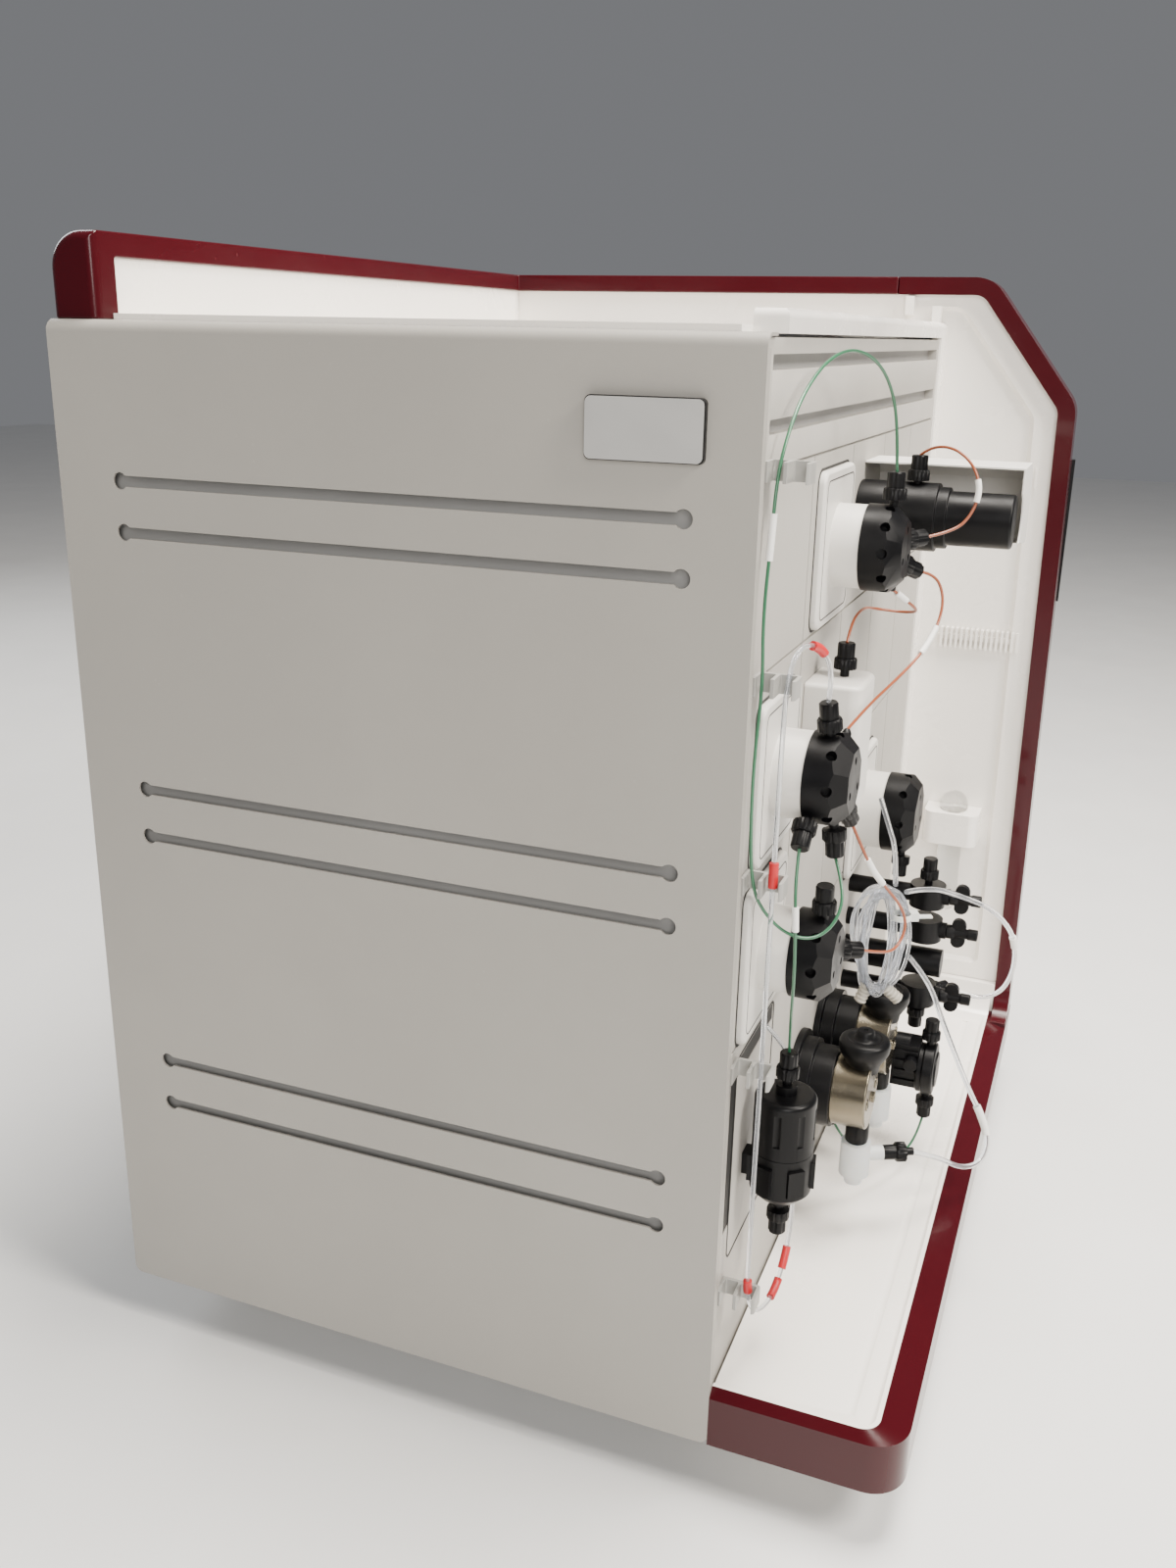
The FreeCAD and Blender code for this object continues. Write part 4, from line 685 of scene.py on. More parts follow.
def tube_routes():
    """Every tube: diameter, stiffness, lay, finish, slot, length in metres and route."""
    green = (wet().fine_tube, "stiff", "loose", green_tubing(), "green")
    orange = (wet().fine_tube, "stiff", "loose", orange_tubing(), "orange")
    soft = (wet().soft_tube, "medium", "hanging", milky_tube(), "clear")
    inlet = (wet().inlet_tube, "medium", "hanging", milky_tube(), "clear")
    return {
        "green_tube_upper": (*green, 0.4826, [
            nut_end("valve_1_top"), (-112, -157, 544), (-118, -154, 563), (-136, -149, 577),
            (-164, -142, 583), (-196, -137, 578), (-224, -134, 565), (-242, -133, 551),
            (-253, -131.5, 533), (-256, -131, 503), (-258, -130, 471), (-256, -131.2, 440),
            (-259, -130, 408), (-259, -130.2, 376), (-256, -131.5, 345), (-250, -137, 330),
            (-243, -147, 318), (-236, -159, 315), (-227, -167, 322), (-218, -168, 335),
            nut_end("valve_2_bottom")]),
        "green_tube_mixer": (*green, 0.1256, [
            nut_end("valve_2_left"), (-243, -149, 346), (-245.5, -151, 326), (-244.5, -152, 300),
            (-238, -150.5, 276), (-223, -147.5, 258), nut_end("mixer_top")]),
        "orange_tube_1": (*orange, 0.0989, [
            nut_end("uv_top"), (-38, -164, 531), (-47, -177, 532), (-55, -189, 525),
            (-58, -195, 512), (-60, -192, 498), (-65, -184, 489), nut_end("valve_1_upper")]),
        "orange_tube_2": (*orange, 0.1597, [
            nut_end("valve_1_lower"), (-73, -177, 467), (-73, -183, 456), (-80, -183, 442),
            (-97, -177, 427), (-124, -168, 417), (-156, -161, 411), nut_end("valve_2_right")]),
        "orange_tube_3": (*orange, 0.1204, [
            nut_end("valve_1_bottom"), (-89, -167, 453), (-76, -171, 446), (-65, -161, 443),
            (-72, -146, 445), (-87, -144, 448), (-103, -143, 448), (-118, -142.7, 445),
            nut_end("cond_top")]),
        "orange_tube_4": (*orange, 0.1339, [
            nut_end("valve_2_low_right"), (-172, -171, 332), (-157, -178, 316), (-146, -186, 302),
            (-141, -189, 289), (-149, -186, 279), (-163, -181, 281), nut_end("valve_3_right")]),
        "clear_loop_1": (*soft, 0.2432, [
            hank_point(45, HANK_STRAIGHT / 2), (-20, -186, 266), (8, -202, 252), (34, -219, 237),
            (57, -232, 215), (76, -236, 192), (83, -235.5, 171), (78, -229, 157),
            (70, -213, 153), nut_end("purge_side")]),
        "clear_loop_2": (*soft, 0.2389, [
            hank_point(0, -10), (-34, -192, 210), (-26, -201, 183), (-20, -211, 157),
            (-16, -222, 131), (-14, -232, 112), (-17, -238, 97), (-27, -235, 86),
            (-41, -224, 88), (-56, -212, 102), nut_end("pump_inlet")]),
        "waste_tube": (*soft, 0.0617, [
            (-14, -150, 317), (-20, -157, 302), (-28, -164, 290), hank_point(70, HANK_STRAIGHT / 2)]),
        "pump_tube": (*green, 0.1221, [
            nut_end("pump_outlet"), (-76, -156, 110), (-62, -168, 94), (-38, -180, 82),
            (-11, -191, 79), nut_end("monitor_bottom")]),
        "inlet_tube": (*inlet, 0.5886, [
            nut_end("valve_2_top"), (-215, -154, 441), (-224, -149, 454), (-240, -143, 457),
            (-251, -140.7, 443), (-254, -141, 410), (-251.5, -140.5, 376), (-254, -141, 340),
            (-251.5, -140.5, 300), (-253.5, -141, 262), (-252, -140.7, 226), (-254, -141, 188),
            (-251.5, -140.5, 152), (-252.5, -140.7, 120), (-244, -143, 103), (-226, -147, 98),
            (-208, -149, 106), (-197, -150, 126), (-192, -149, 152), (-189, -147, 180),
            (-187, -144, 206), (-187, -139, 230), (-187, -124.5, 241)]),
    }


# Tubes

def tube_curve(name, points, diameter, material):
    """A smooth tube on a NURBS spline whose control points are the route."""
    curve = bpy.data.curves.new(name, "CURVE")
    curve.dimensions = "3D"
    curve.resolution_u = 8
    curve.bevel_depth = 1.0
    curve.bevel_resolution = 4
    curve.use_fill_caps = True
    spline = curve.splines.new("NURBS")
    spline.points.add(len(points) - 1)
    for control, point in zip(spline.points, points):
        control.co = (*(Vector(point) * MM), 1.0)
        control.radius = diameter / 2
    spline.order_u = 3
    spline.use_endpoint_u = True
    curve.materials.append(material)
    piece = bpy.data.objects.new(name, curve)
    bpy.context.scene.collection.objects.link(piece)
    return piece


def read_line(piece):
    """Points along a tube's own spline, read from the curve without its bevel."""
    depth = piece.data.bevel_depth
    piece.data.bevel_depth = 0.0
    bpy.context.view_layer.update()
    line = bpy.data.meshes.new_from_object(piece)
    points = [vertex.co.copy() for vertex in line.vertices]
    bpy.data.meshes.remove(line)
    piece.data.bevel_depth = depth
    return points


def stretch_of(points, start, length):
    """The part of a line from a share of its length on, for a length in metres."""
    total = sum((b - a).length for a, b in zip(points, points[1:]))
    low, high = start * total, start * total + length
    walked, found = 0.0, []
    for a, b in zip(points, points[1:]):
        step = (b - a).length
        if walked + step >= low and not found:
            found.append(a.lerp(b, (low - walked) / max(step, 1e-9)))
        if found and walked + step >= high:
            found.append(a.lerp(b, (high - walked) / max(step, 1e-9)))
            return found
        if found:
            found.append(b.copy())
        walked += step
    return found


def sleeve_mesh(points, radius, name, segments=12):
    """A closed sleeve round a stretch of tube, with rounded rims."""
    curve = bpy.data.curves.new(name, "CURVE")
    curve.dimensions = "3D"
    curve.bevel_depth = radius
    curve.bevel_resolution = segments // 4
    curve.use_fill_caps = True
    spline = curve.splines.new("POLY")
    spline.points.add(len(points) - 1)
    for control, point in zip(spline.points, points):
        control.co = (*point, 1.0)
    holder = bpy.data.objects.new(name, curve)
    bpy.context.scene.collection.objects.link(holder)
    bpy.context.view_layer.update()
    mesh = bpy.data.meshes.new_from_object(holder)
    bpy.data.objects.remove(holder)
    bpy.data.curves.remove(curve)
    for polygon in mesh.polygons:
        polygon.use_smooth = len(polygon.vertices) == 4
    return mesh


SLEEVES = {
    "orange_tube_1": (("white", 0.50, 12.0),),
    "orange_tube_2": (("white", 0.25, 20.0),),
    "orange_tube_3": (("white", 0.03, 10.0),),
    "orange_tube_4": (("white", 0.20, 22.0),),
    "clear_loop_1": (("white", 0.61, 13.0),),
    "clear_loop_2": (("white", 0.53, 20.0),),
    "green_tube_upper": (("white", 0.45, 20.0),),
    "green_tube_mixer": (("white", 0.22, 12.0),),
    "inlet_tube": (("red", 0.045, 11.0), ("red", 0.255, 12.0), ("red", 0.645, 7.0), ("red", 0.725, 12.0),
                   ("red", 0.755, 12.0)),
}


def hank_line():
    """Loose turns of spare tube, each with a width, height and lean of its own."""
    points = []
    turns, steps = wet().hank_turns, 20
    forward = HANK_ACROSS.cross(Vector((0, 0, 1)))
    shapes = []
    for turn in range(turns):
        wide = 11.8 + 5.4 * math.sin(2.4 * turn + 0.5)
        tall = 32.5 + 2.6 * math.cos(1.9 * turn)
        aside = 1.8 * math.sin(1.7 * turn + 0.3)
        deep = -4.2 + 8.4 * turn / max(1, turns - 1)
        lean = math.radians(5.0 * math.sin(3.1 * turn + 1.0))
        shapes.append((wide, tall, aside, deep, lean))
    for turn in range(turns):
        following = shapes[min(turn + 1, turns - 1)]
        for step in range(steps):
            share = step / steps
            blend = max(0.0, (share - 0.7) / 0.3)
            wide, tall, aside, deep, lean = (
                a + (b - a) * blend for a, b in zip(shapes[turn], following))
            angle = math.radians(-90) + math.tau * share
            x = math.copysign(abs(math.cos(angle)) ** 0.8, math.cos(angle)) * wide
            z = math.sin(angle) * tall
            x *= 1.0 + 0.004 * z
            x, z = x * math.cos(lean) - z * math.sin(lean) + aside, x * math.sin(lean) + z * math.cos(lean)
            points.append(HANK_CENTRE + HANK_ACROSS * x + Vector((0, 0, z)) + forward * deep)
    return points


# Shapes of single pieces, in millimetres

def block(low, high):
    """A closed box between two corners."""
    work = bmesh.new()
    bmesh.ops.create_cube(work, size=1.0)
    middle = [(a + b) / 2 * MM for a, b in zip(low, high)]
    sizes = [(b - a) * MM for a, b in zip(low, high)]
    work.transform(Matrix.Translation(middle) @ Matrix.Diagonal((*sizes, 1.0)))
    return work


def rounded_sheet(corners, radius):
    """One flat face with round corners."""
    work = bmesh.new()
    work.faces.new([work.verts.new(Vector(corner) * MM) for corner in corners])
    bmesh.ops.bevel(work, geom=work.verts[:], offset=radius * MM, offset_type="OFFSET", segments=6,
                    profile=0.5, affect="VERTICES", material=-1)
    return work


def pulled_out(work, faces, along):
    """Gives flat faces a thickness and turns them outwards."""
    grown = bmesh.ops.extrude_face_region(work, geom=faces)["geom"]
    moved = [item for item in grown if isinstance(item, bmesh.types.BMVert)]
    bmesh.ops.translate(work, vec=Vector(along) * MM, verts=moved)
    bmesh.ops.recalc_face_normals(work, faces=work.faces)
    return work


def frame_line(x0, x1, z0, z1, radius, width, back, depth=0.3):
    """A thin raised line round a rectangle, standing on the plane Y = back."""
    y = back + 0.2
    work = rounded_sheet(((x0, y, z0), (x1, y, z0), (x1, y, z1), (x0, y, z1)), radius)
    middle = work.faces[:]
    ring = bmesh.ops.inset_region(work, faces=middle, thickness=width * MM, use_even_offset=True,
                                  use_boundary=True)["faces"]
    bmesh.ops.delete(work, geom=middle, context="FACES_ONLY")
    return pulled_out(work, ring, (0.0, -depth - 0.2, 0.0))


def purge_knob_parts(height):
    """A purge knob pointing to the front: hub with a round tip and two rounded wings."""
    face = KNOB_FACE
    toward = turned_to((0, -1, 0), (PURGE_X, face, height))
    hub = spun(((0.0, -5.0), (1.5, -5.0), (1.5, 0.0), (4.8, 0.0), (4.8, 3.4), (4.2, 5.0), (3.4, 5.4),
                (3.4, 13.4), (3.9, 13.8), (3.9, 19.4), (3.4, 20.0), (2.4, 20.0), (2.2, 18.4),
                (0.0, 18.4)), 24)
    wing = ((-4.0, 2.2), (-3.0, 4.6), (-3.2, 7.2), (-4.6, 9.2), (-6.8, 10.0), (-9.0, 9.7), (-11.0, 8.4),
            (-12.2, 6.2), (-12.4, 4.0), (-11.6, 2.2))
    outline = list(wing) + [(y, -z) for y, z in reversed(wing)]
    wings = bmesh.new()
    lobe = wings.faces.new([wings.verts.new(Vector((-2.3, y, z)) * MM) for y, z in outline])
    pulled_out(wings, [lobe], (4.6, 0.0, 0.0))
    return [(hub, toward), (wings, Matrix.Translation(Vector((PURGE_X, face, height)) * MM))]


def monitor_parts():
    """Pressure monitor: round cell to the front, ribbed housing behind, arm and cross lug."""
    x, y, z = MONITOR
    cell = spun(((0.0, 0.0), (15.4, 0.0), (16.4, 1.0), (16.4, 3.6), (17.5, 4.4), (17.5, 10.2), (16.6, 11.2),
                 (12.0, 11.4), (11.4, 12.6), (4.0, 12.6), (0.0, 12.6)), 48)
    parts = [(cell, turned_to((0, -1, 0), (x, y + 6.5, z)))]
    parts.append((block((x - 9.5, y + 5.5, z - 12.0), (x + 9.5, y + 23.0, z + 18.0)), Matrix()))
    for rib in range(4):
        low = z - 9.0 + rib * 7.0
        parts.append((block((x - 11.0, y + 6.0, low), (x + 11.0, y + 21.0, low + 2.6)), Matrix()))
    lug = spun(((0.0, 0.0), (4.2, 0.0), (4.5, 0.4), (4.5, 33.6), (4.2, 34.0), (0.0, 34.0)), 24)
    parts.append((lug, turned_to((1, 0, 0), (x - 17.0, y + 10.0, z + 7.5))))
    arm = spun(((0.0, 0.0), (7.0, 0.0), (7.0, 54.0), (0.0, 54.0)), 32)
    parts.append((arm, turned_to((0, 1, 0), (x, y + 12.5, z + 14.5))))
    return parts


def check_valve_parts():
    """Dished caps over the pump heads and fluted nuts below them."""
    cap = spun(((0.0, -2.0), (9.4, -2.0), (10.0, 2.2), (12.8, 7.0), (14.6, 10.6), (15.0, 12.6),
                (15.0, 15.6), (14.4, 17.2), (12.8, 18.2), (10.4, 18.4), (9.6, 17.8), (7.4, 17.8),
                (6.2, 18.6), (5.4, 20.6), (5.2, 22.6), (4.4, 23.4), (1.6, 23.5), (1.2, 22.4),
                (0.0, 22.4)), 48)
    nut = spun(((0.0, 0.0), (6.2, 0.0), (6.2, 1.4), (7.0, 2.0), (7.0, 12.4), (6.4, 13.4), (4.6, 14.0),
                (0.0, 14.0)), 48)
    for vertex in nut.verts:
        radius = math.hypot(vertex.co.x, vertex.co.y)
        if radius > 6.6 * MM:
            dip = 0.5 * MM * max(0.0, math.cos(8 * math.atan2(vertex.co.y, vertex.co.x)))
            vertex.co.x -= vertex.co.x / radius * dip
            vertex.co.y -= vertex.co.y / radius * dip
    parts = []
    for x in (PUMP_X, PUMP_X + PUMP_PITCH):
        parts.append((cap, turned_to((0, 0, 1), (x, CHECK_Y, PUMP_Z + 17.5))))
        parts.append((nut, turned_to((0, 0, -1), (x, CHECK_Y, PUMP_Z - 19.5))))
    return parts


def rinse_tube_part():
    """Clear rinse tube with a round bottom and a clear domed cap."""
    low, seat, tube, cap, rim = RINSE_TOP - 92.0, RINSE_TOP - 14.0, 9.0, 11.0, 2.6
    rise = RINSE_TOP - seat - rim
    quarter = [math.radians(angle) for angle in range(0, 91, 15)]
    profile = [(tube * math.sin(turn), low - tube * math.cos(turn)) for turn in quarter]
    profile += [(tube, seat - 0.2), (cap, seat), (cap, seat + rim)]
    profile += [(cap * math.cos(turn), seat + rim + rise * math.sin(turn)) for turn in quarter[1:]]
    return spun(profile, 40)


def ribbed_sleeve():
    """A short sleeve with five ribs, along +Z."""
    profile = [(0.0, 0.0), (2.2, 0.0)]
    for rib in range(5):
        low = rib * 2.6
        profile += [(2.7, low + 0.2), (3.9, low + 0.8), (3.9, low + 1.6), (2.7, low + 2.3)]
    return spun(profile + [(2.2, 13.2), (0.0, 13.2)], 24)


def single_piece(parts, name, material, node, angle=40.0):
    """Joins parts into the piece that stands in for a CAD node."""
    mesh = joined(parts, name, angle)
    piece = add_object(name, mesh, material, body_of_node(node))
    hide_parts(node)
    return piece


# Operators, one for each piece or group of like pieces

class FPLC_OT_cabinet(bpy.types.Operator):
    """Side cover, rear cover, chassis, feet and asset plate"""
    bl_idname = "fplc.cabinet"
    bl_label = "Cabinet"

    def execute(self, context):
        softened("side_cover", cover_paint(), 0.35)
        softened("rear_cover", rear_paint(), 0.3)
        plain("chassis", inner_metal())
        softened("feet", foot_rubber(), 1.5, 3)
        # The plate body in black plastic shows as a thin dark rim round the inset metal face: painted shade
        # on the label's edges.
        softened("asset_plate", black_plastic(), 0.5)
        start, length, bottom, height = TAG
        ends = (start + TAG_SHADE_RIM, start + length - TAG_SHADE_RIM)
        levels = (bottom + TAG_SHADE_RIM, bottom + height - TAG_SHADE_RIM)
        corners = [(TAG_FACE + 0.2, y, z) for y, z in zip(ends + ends[::-1], sorted(levels * 2))]
        sheet = rounded_sheet(corners, TAG_CORNER)
        pulled_out(sheet, sheet.faces[:], (-0.4, 0.0, 0.0))
        fixed_piece("asset_plate_face", [(sheet, Matrix())], tag_metal())
        return {"FINISHED"}


class FPLC_OT_surround(bpy.types.Operator):
    """White surround with its trays and the dark red trim strip"""
    bl_idname = "fplc.surround"
    bl_label = "Surround and trays"

    def execute(self, context):
        for node in ("right_wall", "top_tray", "drip_tray"):
            softened(node, white_moulding(), shell().edge_round / MM)
        softened("front_trim", red_trim(), 1.0, 3)
        softened("top_trim", red_trim(), 1.0, 3)
        return {"FINISHED"}


class FPLC_OT_wet_panel(bpy.types.Operator):
    """Panel behind the modules, tube clips and the rinse tube in its holder"""
    bl_idname = "fplc.wet_panel"
    bl_label = "Wet panel"

    def execute(self, context):
        softened("wet_panel", panel_paint(), 0.3, flats=False)
        # Dark blocks and a dark line paint the shade in the cable slot, the opening and the gap round the
        # cable door.
        gaps = [(block(low, high), Matrix()) for low, high in CABLE_GAP_SHADES]
        gaps.append((frame_line(*CABLE_DOOR, 6.0, 1.0, PANEL_FRONT), Matrix()))
        fixed_piece("cable_door_shade_lines", gaps, painted_shade_line())
        softened("tube_clips", clip_plastic(), 0.3)
        softened("tube_holder", white_moulding(), 1.2, 3)
        tube = rinse_tube_part()
        place = Matrix.Translation(Vector((*RINSE_PLACE, 0.0)) * MM)
        single_piece([(tube, place)], "rinse_tube_clear", clear_plastic(), "rinse_tube")
        return {"FINISHED"}


class FPLC_OT_valves(bpy.types.Operator):
    """Four rotary valves on their module plates"""
    bl_idname = "fplc.valves"
    bl_label = "Valves"

    def execute(self, context):
        for index in range(1, 5):
            softened(f"valve_base_{index}", module_plastic(), 0.5)
            softened(f"valve_head_{index}", black_plastic(), 0.4)
        # Dark lines round each module plate paint the shade in the gap round it and along a line just inside
        # its edge.
        lines = []
        for x, z in VALVE_AXES:
            for margin, radius, width, back, depth in PLATE_LINES:
                wide, tall = PLATE_SIZE[0] / 2 + margin, PLATE_SIZE[1] / 2 + margin
                line = frame_line(x - wide, x + wide, z - tall, z + tall, radius, width, back, depth)
                lines.append((line, Matrix()))
        fixed_piece("plate_shade_lines", lines, painted_shade_line())
        return {"FINISHED"}


class FPLC_OT_detectors(bpy.types.Operator):
    """Ultraviolet cell with its sheet cover and the conductivity block"""
    bl_idname = "fplc.detectors"
    bl_label = "Detectors"

    def execute(self, context):
        softened("uv_cell", black_plastic(), 0.5)
        softened("uv_cover", grey_sheet(), 0.3)
        softened("conductivity_block", module_plastic(), 0.8, 3)
        return {"FINISHED"}


class FPLC_OT_pumps(bpy.types.Operator):
    """Pump bodies, steel heads, pistons, check valves and rinse chambers"""
    bl_idname = "fplc.pumps"
    bl_label = "Pumps"

    def execute(self, context):
        for side in ("left", "right"):
            softened(f"pump_body_{side}", black_plastic(), 0.5)
            softened(f"pump_head_{side}", turned_steel(), 0.4)
            softened(f"piston_{side}", ceramic(), 0.3)
        single_piece(check_valve_parts(), "check_valve_caps", black_plastic(), "check_valves")
        screw = spun(((0.0, 0.8), (3.6, 0.8), (3.6, -0.3), (3.2, -0.7), (2.2, -0.7), (1.9, -0.3), (1.9, 0.4),
                      (0.0, 0.4)), 24)
        screws = [(screw, turned_to((0, 1, 0), (x + side * SCREW_OFFSET, PUMP_HEAD_FRONT, PUMP_Z)))
                  for x in (PUMP_X, PUMP_X + PUMP_PITCH) for side in (-1, 1)]
        fixed_piece("head_screws", screws, turned_steel(), 35.0)
        softened("rinse_chambers", frosted(), 0.4)
        return {"FINISHED"}


class FPLC_OT_purge(bpy.types.Operator):
    """Purge valves with wing knobs and the pressure monitor"""
    bl_idname = "fplc.purge"
    bl_label = "Purge valves"

    def execute(self, context):
        softened("purge_valves", black_plastic(), 0.5)
        monitor = single_piece(monitor_parts(), "pressure_cell", black_plastic(), "pressure_monitor")
        round_edges(monitor, 0.6)
        for index, height in enumerate(PURGE_HEIGHTS):
            node = f"purge_knob_{index + 1}"
            knob = single_piece(purge_knob_parts(height), node + "_wings", black_plastic(), node)
            round_edges(knob, 0.9, 3)
        return {"FINISHED"}


class FPLC_OT_mixer(bpy.types.Operator):
    """Mixer in two halves"""
    bl_idname = "fplc.mixer"
    bl_label = "Mixer"

    def execute(self, context):
        softened("mixer_cap", black_plastic(), 0.5)
        softened("mixer_chamber", black_plastic(), 0.5)
        return {"FINISHED"}


class FPLC_OT_controls(bpy.types.Operator):
    """Push buttons on their strip, mains inlet, rocker and fan"""
    bl_idname = "fplc.controls"
    bl_label = "Controls and rear"

    def execute(self, context):
        softened("control_panel", black_plastic(), 0.6)
        for name in ("power", "pause", "continue"):
            softened(f"button_{name}", button_grey(), 0.6, 3)
        softened("mains_inlet", black_plastic(), 0.3)
        softened("power_rocker", black_plastic(), 0.5)
        softened("fan_rotor", black_plastic(), 0.3)
        return {"FINISHED"}


def fluted_nut():
    """A finger-tight nut along +Z: stem, fluted collar, ribbed grip and a conical lip."""
    collar_top = NUT_STEM + NUT_COLLAR
    profile = (
        (2.4, -1.0), (2.4, 3.6), (3.2, NUT_STEM), (6.0, NUT_STEM + 0.2), (6.0, NUT_STEM + 1.2),
        (6.0, collar_top - 0.8), (5.5, collar_top), (4.6, collar_top + 0.1), (4.6, collar_top + 2.0),
        (4.6, NUT_LENGTH - 0.6), (4.0, NUT_LENGTH), (1.0, NUT_LENGTH),
    )
    steps = wet().nut_flutes * 4
    work = spun(profile, steps)
    for vertex in work.verts:
        x, y, z = vertex.co
        radius = math.hypot(x, y)
        turn = math.atan2(y, x)
        flutes = wet().nut_flutes if z < (collar_top - 0.4) * MM else wet().nut_flutes // 2
        if radius > 4.3 * MM:
            dip = max(0.0, math.cos(turn * flutes)) * (0.55 if flutes > 8 else 0.5) * MM
            vertex.co.x -= x / radius * dip
            vertex.co.y -= y / radius * dip
    return work


class FPLC_OT_nuts(bpy.types.Operator):
    """Finger-tight tube nuts and ferrules"""
    bl_idname = "fplc.nuts"
    bl_label = "Tube nuts"

    def execute(self, context):
        nut = fluted_nut()
        parts = [(nut, turned_to(direction, base)) for base, direction in nut_places().values()]
        ferrule = spun(((2.4, -1.0), (2.4, 3.0), (1.5, FERRULE_LENGTH), (0.9, FERRULE_LENGTH)), 24)
        parts += [(ferrule, turned_to(direction, base)) for base, direction in ferrule_places().values()]
        piece = fixed_piece("tube_nuts", parts, black_plastic(), 40.0)
        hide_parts("tube_fittings")
        return {"FINISHED"}


class FPLC_OT_tubes(bpy.types.Operator):
    """Green, orange and clear tubes, and the sleeves on them"""
    bl_idname = "fplc.tubes"
    bl_label = "Tubes"

    def execute(self, context):
        kinds = {"white": (white_sleeve, "frosted", 0.9), "red": (red_flag, "orange", 1.1)}
        for name, (diameter, stiffness, lay, material, slot, length, points) in tube_routes().items():
            piece = tube_curve(name + "_line", points, diameter, material)
            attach(piece, "instrument")
            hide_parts(name)
            line = read_line(piece)
            for number, (kind, start, size) in enumerate(SLEEVES.get(name, ())):
                maker, sleeve_slot, wall = kinds[kind]
                label = f"{name}_sleeve_{number + 1}"
                mesh = sleeve_mesh(stretch_of(line, start, size * MM), diameter / 2 + wall * MM, "sleeve")
                add_object(label, mesh, maker(), "instrument")
        return {"FINISHED"}


class FPLC_OT_hank(bpy.types.Operator):
    """Tied hank of spare clear tube"""
    bl_idname = "fplc.hank"
    bl_label = "Tube hank"

    def execute(self, context):
        points = hank_line()
        diameter = wet().hank_tube
        piece = tube_curve("tube_hank_line", points, diameter, milky_tube())
        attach(piece, "instrument")
        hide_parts("tube_hank")
        line = read_line(piece)
        self.worn()
        return {"FINISHED"}

    def worn(self):
        """The nylon tie round the hank's front limb and the ribbed sleeves at its foot."""
        middle = HANK_CENTRE + HANK_ACROSS * 11.5 + Vector((0, 0, 15.0))
        band = spun(((5.6, 0.0), (6.4, 0.0), (6.4, 3.4), (5.6, 3.4), (5.6, 0.0)), 32)
        buckle = block((5.2, -3.0, -0.8), (10.2, 3.0, 4.2))
        tail = block((9.8, -1.9, 0.6), (19.0, 1.9, 1.7))
        turned = Matrix.Translation(middle * MM) @ Matrix.Rotation(math.radians(-64.0), 4, "Z")
        tied = [(part, turned) for part in (band, buckle, tail)]
        tie = fixed_piece("hank_tie", tied, nylon(), 40.0)
        sleeve = ribbed_sleeve()
        parts = []
        for aside, down, lean in ((-5.0, -28.5, -0.34), (5.5, -30.5, 1.1)):
            base = HANK_CENTRE + HANK_ACROSS * aside + Vector((0, 0, down))
            parts.append((sleeve, turned_to(HANK_ACROSS * lean + Vector((0, 0, -1.0)), base)))
        return [tie, fixed_piece("hank_sleeves", parts, beige_sleeve(), 50.0)]


# Lights: name, place, target, size, share of the key power and colour
LIGHTS = (
    ("key", (-0.45, -1.7, 1.9), (0.05, -0.15, 0.3), 0.8, 1.5, (1.0, 0.94, 0.86)),
    ("side_fill", (-2.2, -0.9, 1.2), (-0.1, -0.1, 0.3), 1.2, 0.75, (1.0, 0.97, 0.93)),
    ("top", (0.1, -0.35, 2.2), (0.05, -0.15, 0.4), 1.0, 2.1, (1.0, 0.945, 0.87)),
    ("rear_rim", (0.9, 2.1, 1.5), (0.0, 0.1, 0.4), 1.2, 0.4, (0.96, 0.98, 1.0)),
)
CAMERA_PLACE = (-0.83992, -0.27623, 0.58726)
CAMERA_ANGLES = (72.0027, -1.091, -68.418)


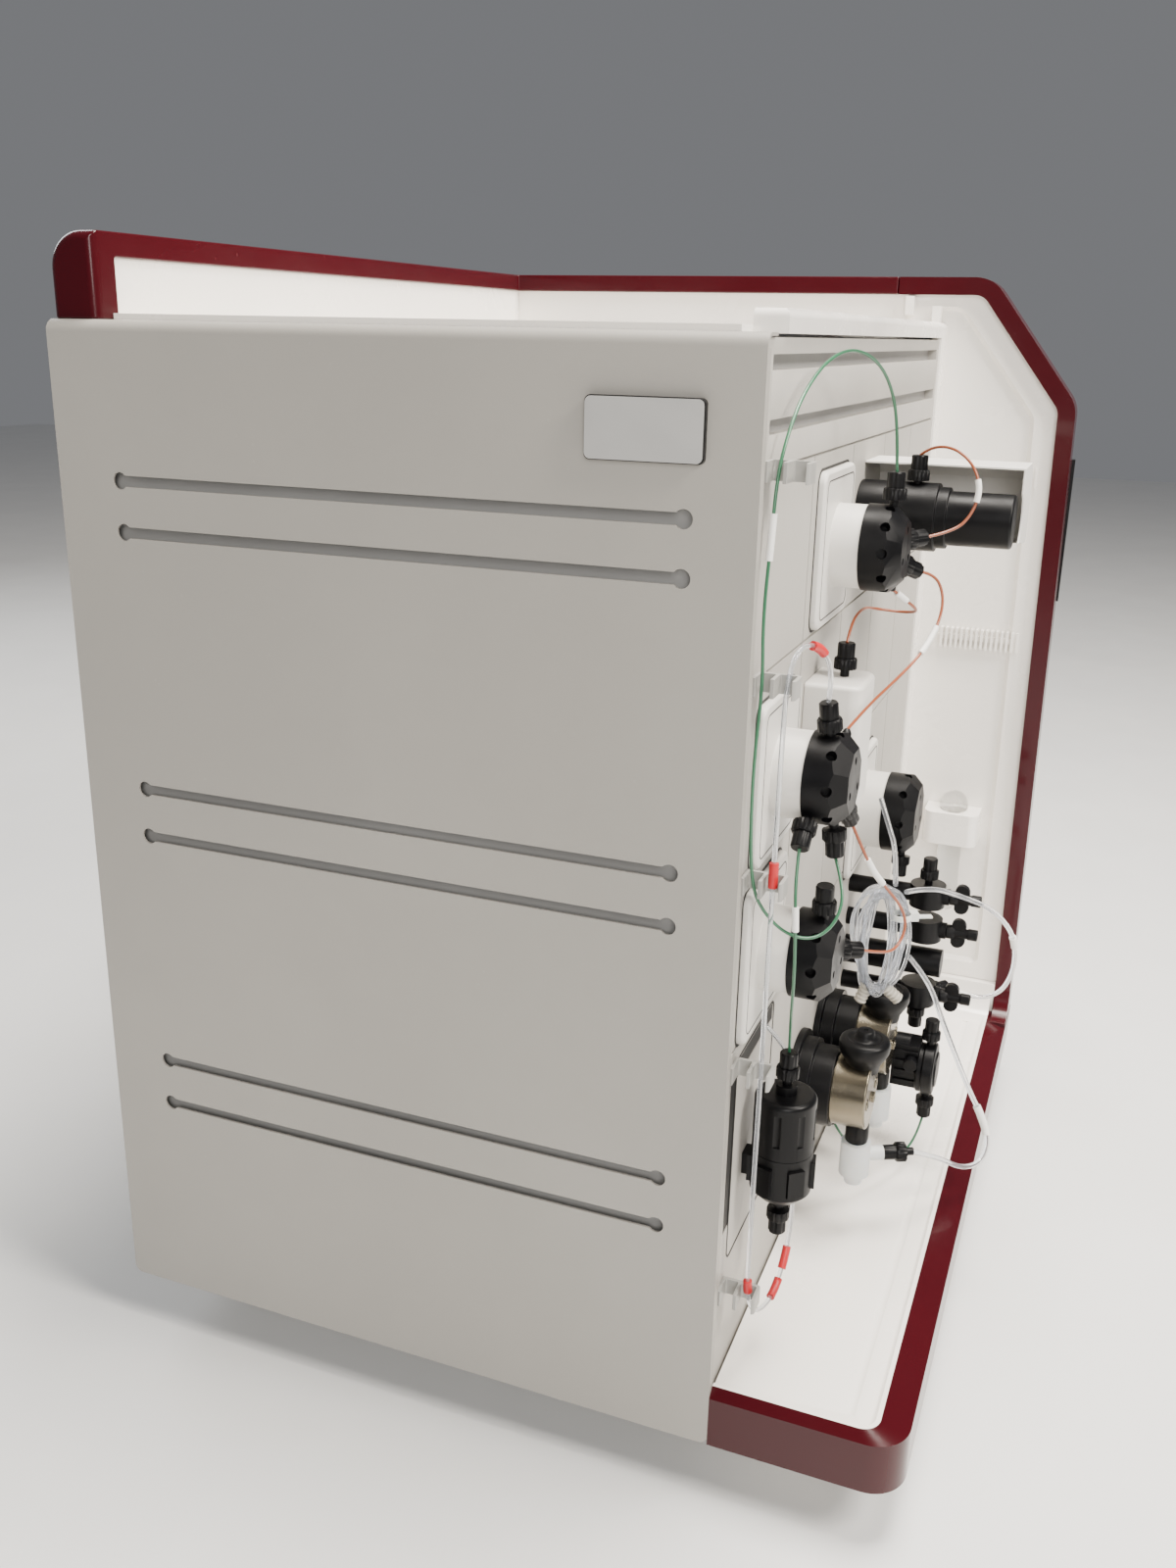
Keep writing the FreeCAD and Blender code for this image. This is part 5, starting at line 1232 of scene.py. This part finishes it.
class FPLC_OT_stage(bpy.types.Operator):
    """Pale floor, soft studio lights and the camera at the photographed angle"""
    bl_idname = "fplc.stage"
    bl_label = "Stage"

    def execute(self, context):
        work = bmesh.new()
        bmesh.ops.create_grid(work, x_segments=1, y_segments=1, size=6.0)
        mesh = mesh_from(work, "floor")
        floor = bpy.data.objects.new("floor", mesh)
        context.scene.collection.objects.link(floor)
        paint = finish("floor_paint", stage().floor_colour, 0.55, grain=300.0, bump=0.00001, vary=0.02)
        mesh.materials.append(paint)
        world = bpy.data.worlds.new("studio")
        world.use_nodes = True
        world.node_tree.nodes["Background"].inputs["Color"].default_value = (0.93, 0.95, 1.0, 1.0)
        world.node_tree.nodes["Background"].inputs["Strength"].default_value = 0.2
        context.scene.world = world
        for name, place, target, size, share, colour in LIGHTS:
            add_light(name, place, target, size, stage().key_power * share, colour)
        camera_data = bpy.data.cameras.new("photo_angle")
        camera_data.lens = stage().lens
        camera_data.sensor_width = 36.0
        camera_data.clip_start = 0.02
        camera = bpy.data.objects.new("photo_angle", camera_data)
        camera.location = CAMERA_PLACE
        camera.rotation_euler = [math.radians(angle) for angle in CAMERA_ANGLES]
        context.scene.collection.objects.link(camera)
        context.scene.camera = camera
        return {"FINISHED"}


def add_light(name, place, target, size, power, colour):
    """A large soft area light."""
    data = bpy.data.lights.new(name, "AREA")
    data.shape = "DISK"
    data.size = size
    data.energy = power
    data.color = colour
    lamp = bpy.data.objects.new(name, data)
    lamp.location = place
    lamp.rotation_euler = (Vector(target) - Vector(place)).to_track_quat("-Z", "Y").to_euler()
    bpy.context.scene.collection.objects.link(lamp)


OPERATORS = (
    FPLC_OT_cabinet, FPLC_OT_surround, FPLC_OT_wet_panel, FPLC_OT_valves, FPLC_OT_detectors, FPLC_OT_pumps,
    FPLC_OT_purge, FPLC_OT_mixer, FPLC_OT_controls, FPLC_OT_nuts, FPLC_OT_tubes, FPLC_OT_hank, FPLC_OT_stage,
)
SETTINGS = (ShellSettings, WetSettings, StageSettings)


class FPLC_PT_panel(bpy.types.Panel):
    """Lists the pieces in the sidebar"""
    bl_idname = "FPLC_PT_panel"
    bl_label = "Chromatography system"
    bl_space_type = "VIEW_3D"
    bl_region_type = "UI"
    bl_category = "Chromatography"

    def draw(self, context):
        scene = context.scene
        for group in (scene.fplc_shell, scene.fplc_wet, scene.fplc_stage):
            column = self.layout.column()
            for name in group.__annotations__:
                column.prop(group, name)
        for operator in OPERATORS:
            self.layout.operator(operator.bl_idname)


def register():
    for kind in SETTINGS + OPERATORS + (FPLC_PT_panel,):
        bpy.utils.register_class(kind)
    bpy.types.Scene.fplc_shell = PointerProperty(type=ShellSettings)
    bpy.types.Scene.fplc_wet = PointerProperty(type=WetSettings)
    bpy.types.Scene.fplc_stage = PointerProperty(type=StageSettings)


def unregister():
    for name in ("fplc_shell", "fplc_wet", "fplc_stage"):
        delattr(bpy.types.Scene, name)
    for kind in reversed(SETTINGS + OPERATORS + (FPLC_PT_panel,)):
        bpy.utils.unregister_class(kind)


def main():
    register()
    for operator in OPERATORS:
        group, name = operator.bl_idname.split(".")
        getattr(getattr(bpy.ops, group), name)()
    bpy.context.view_layer.update()


if __name__ == "__main__":
    main()
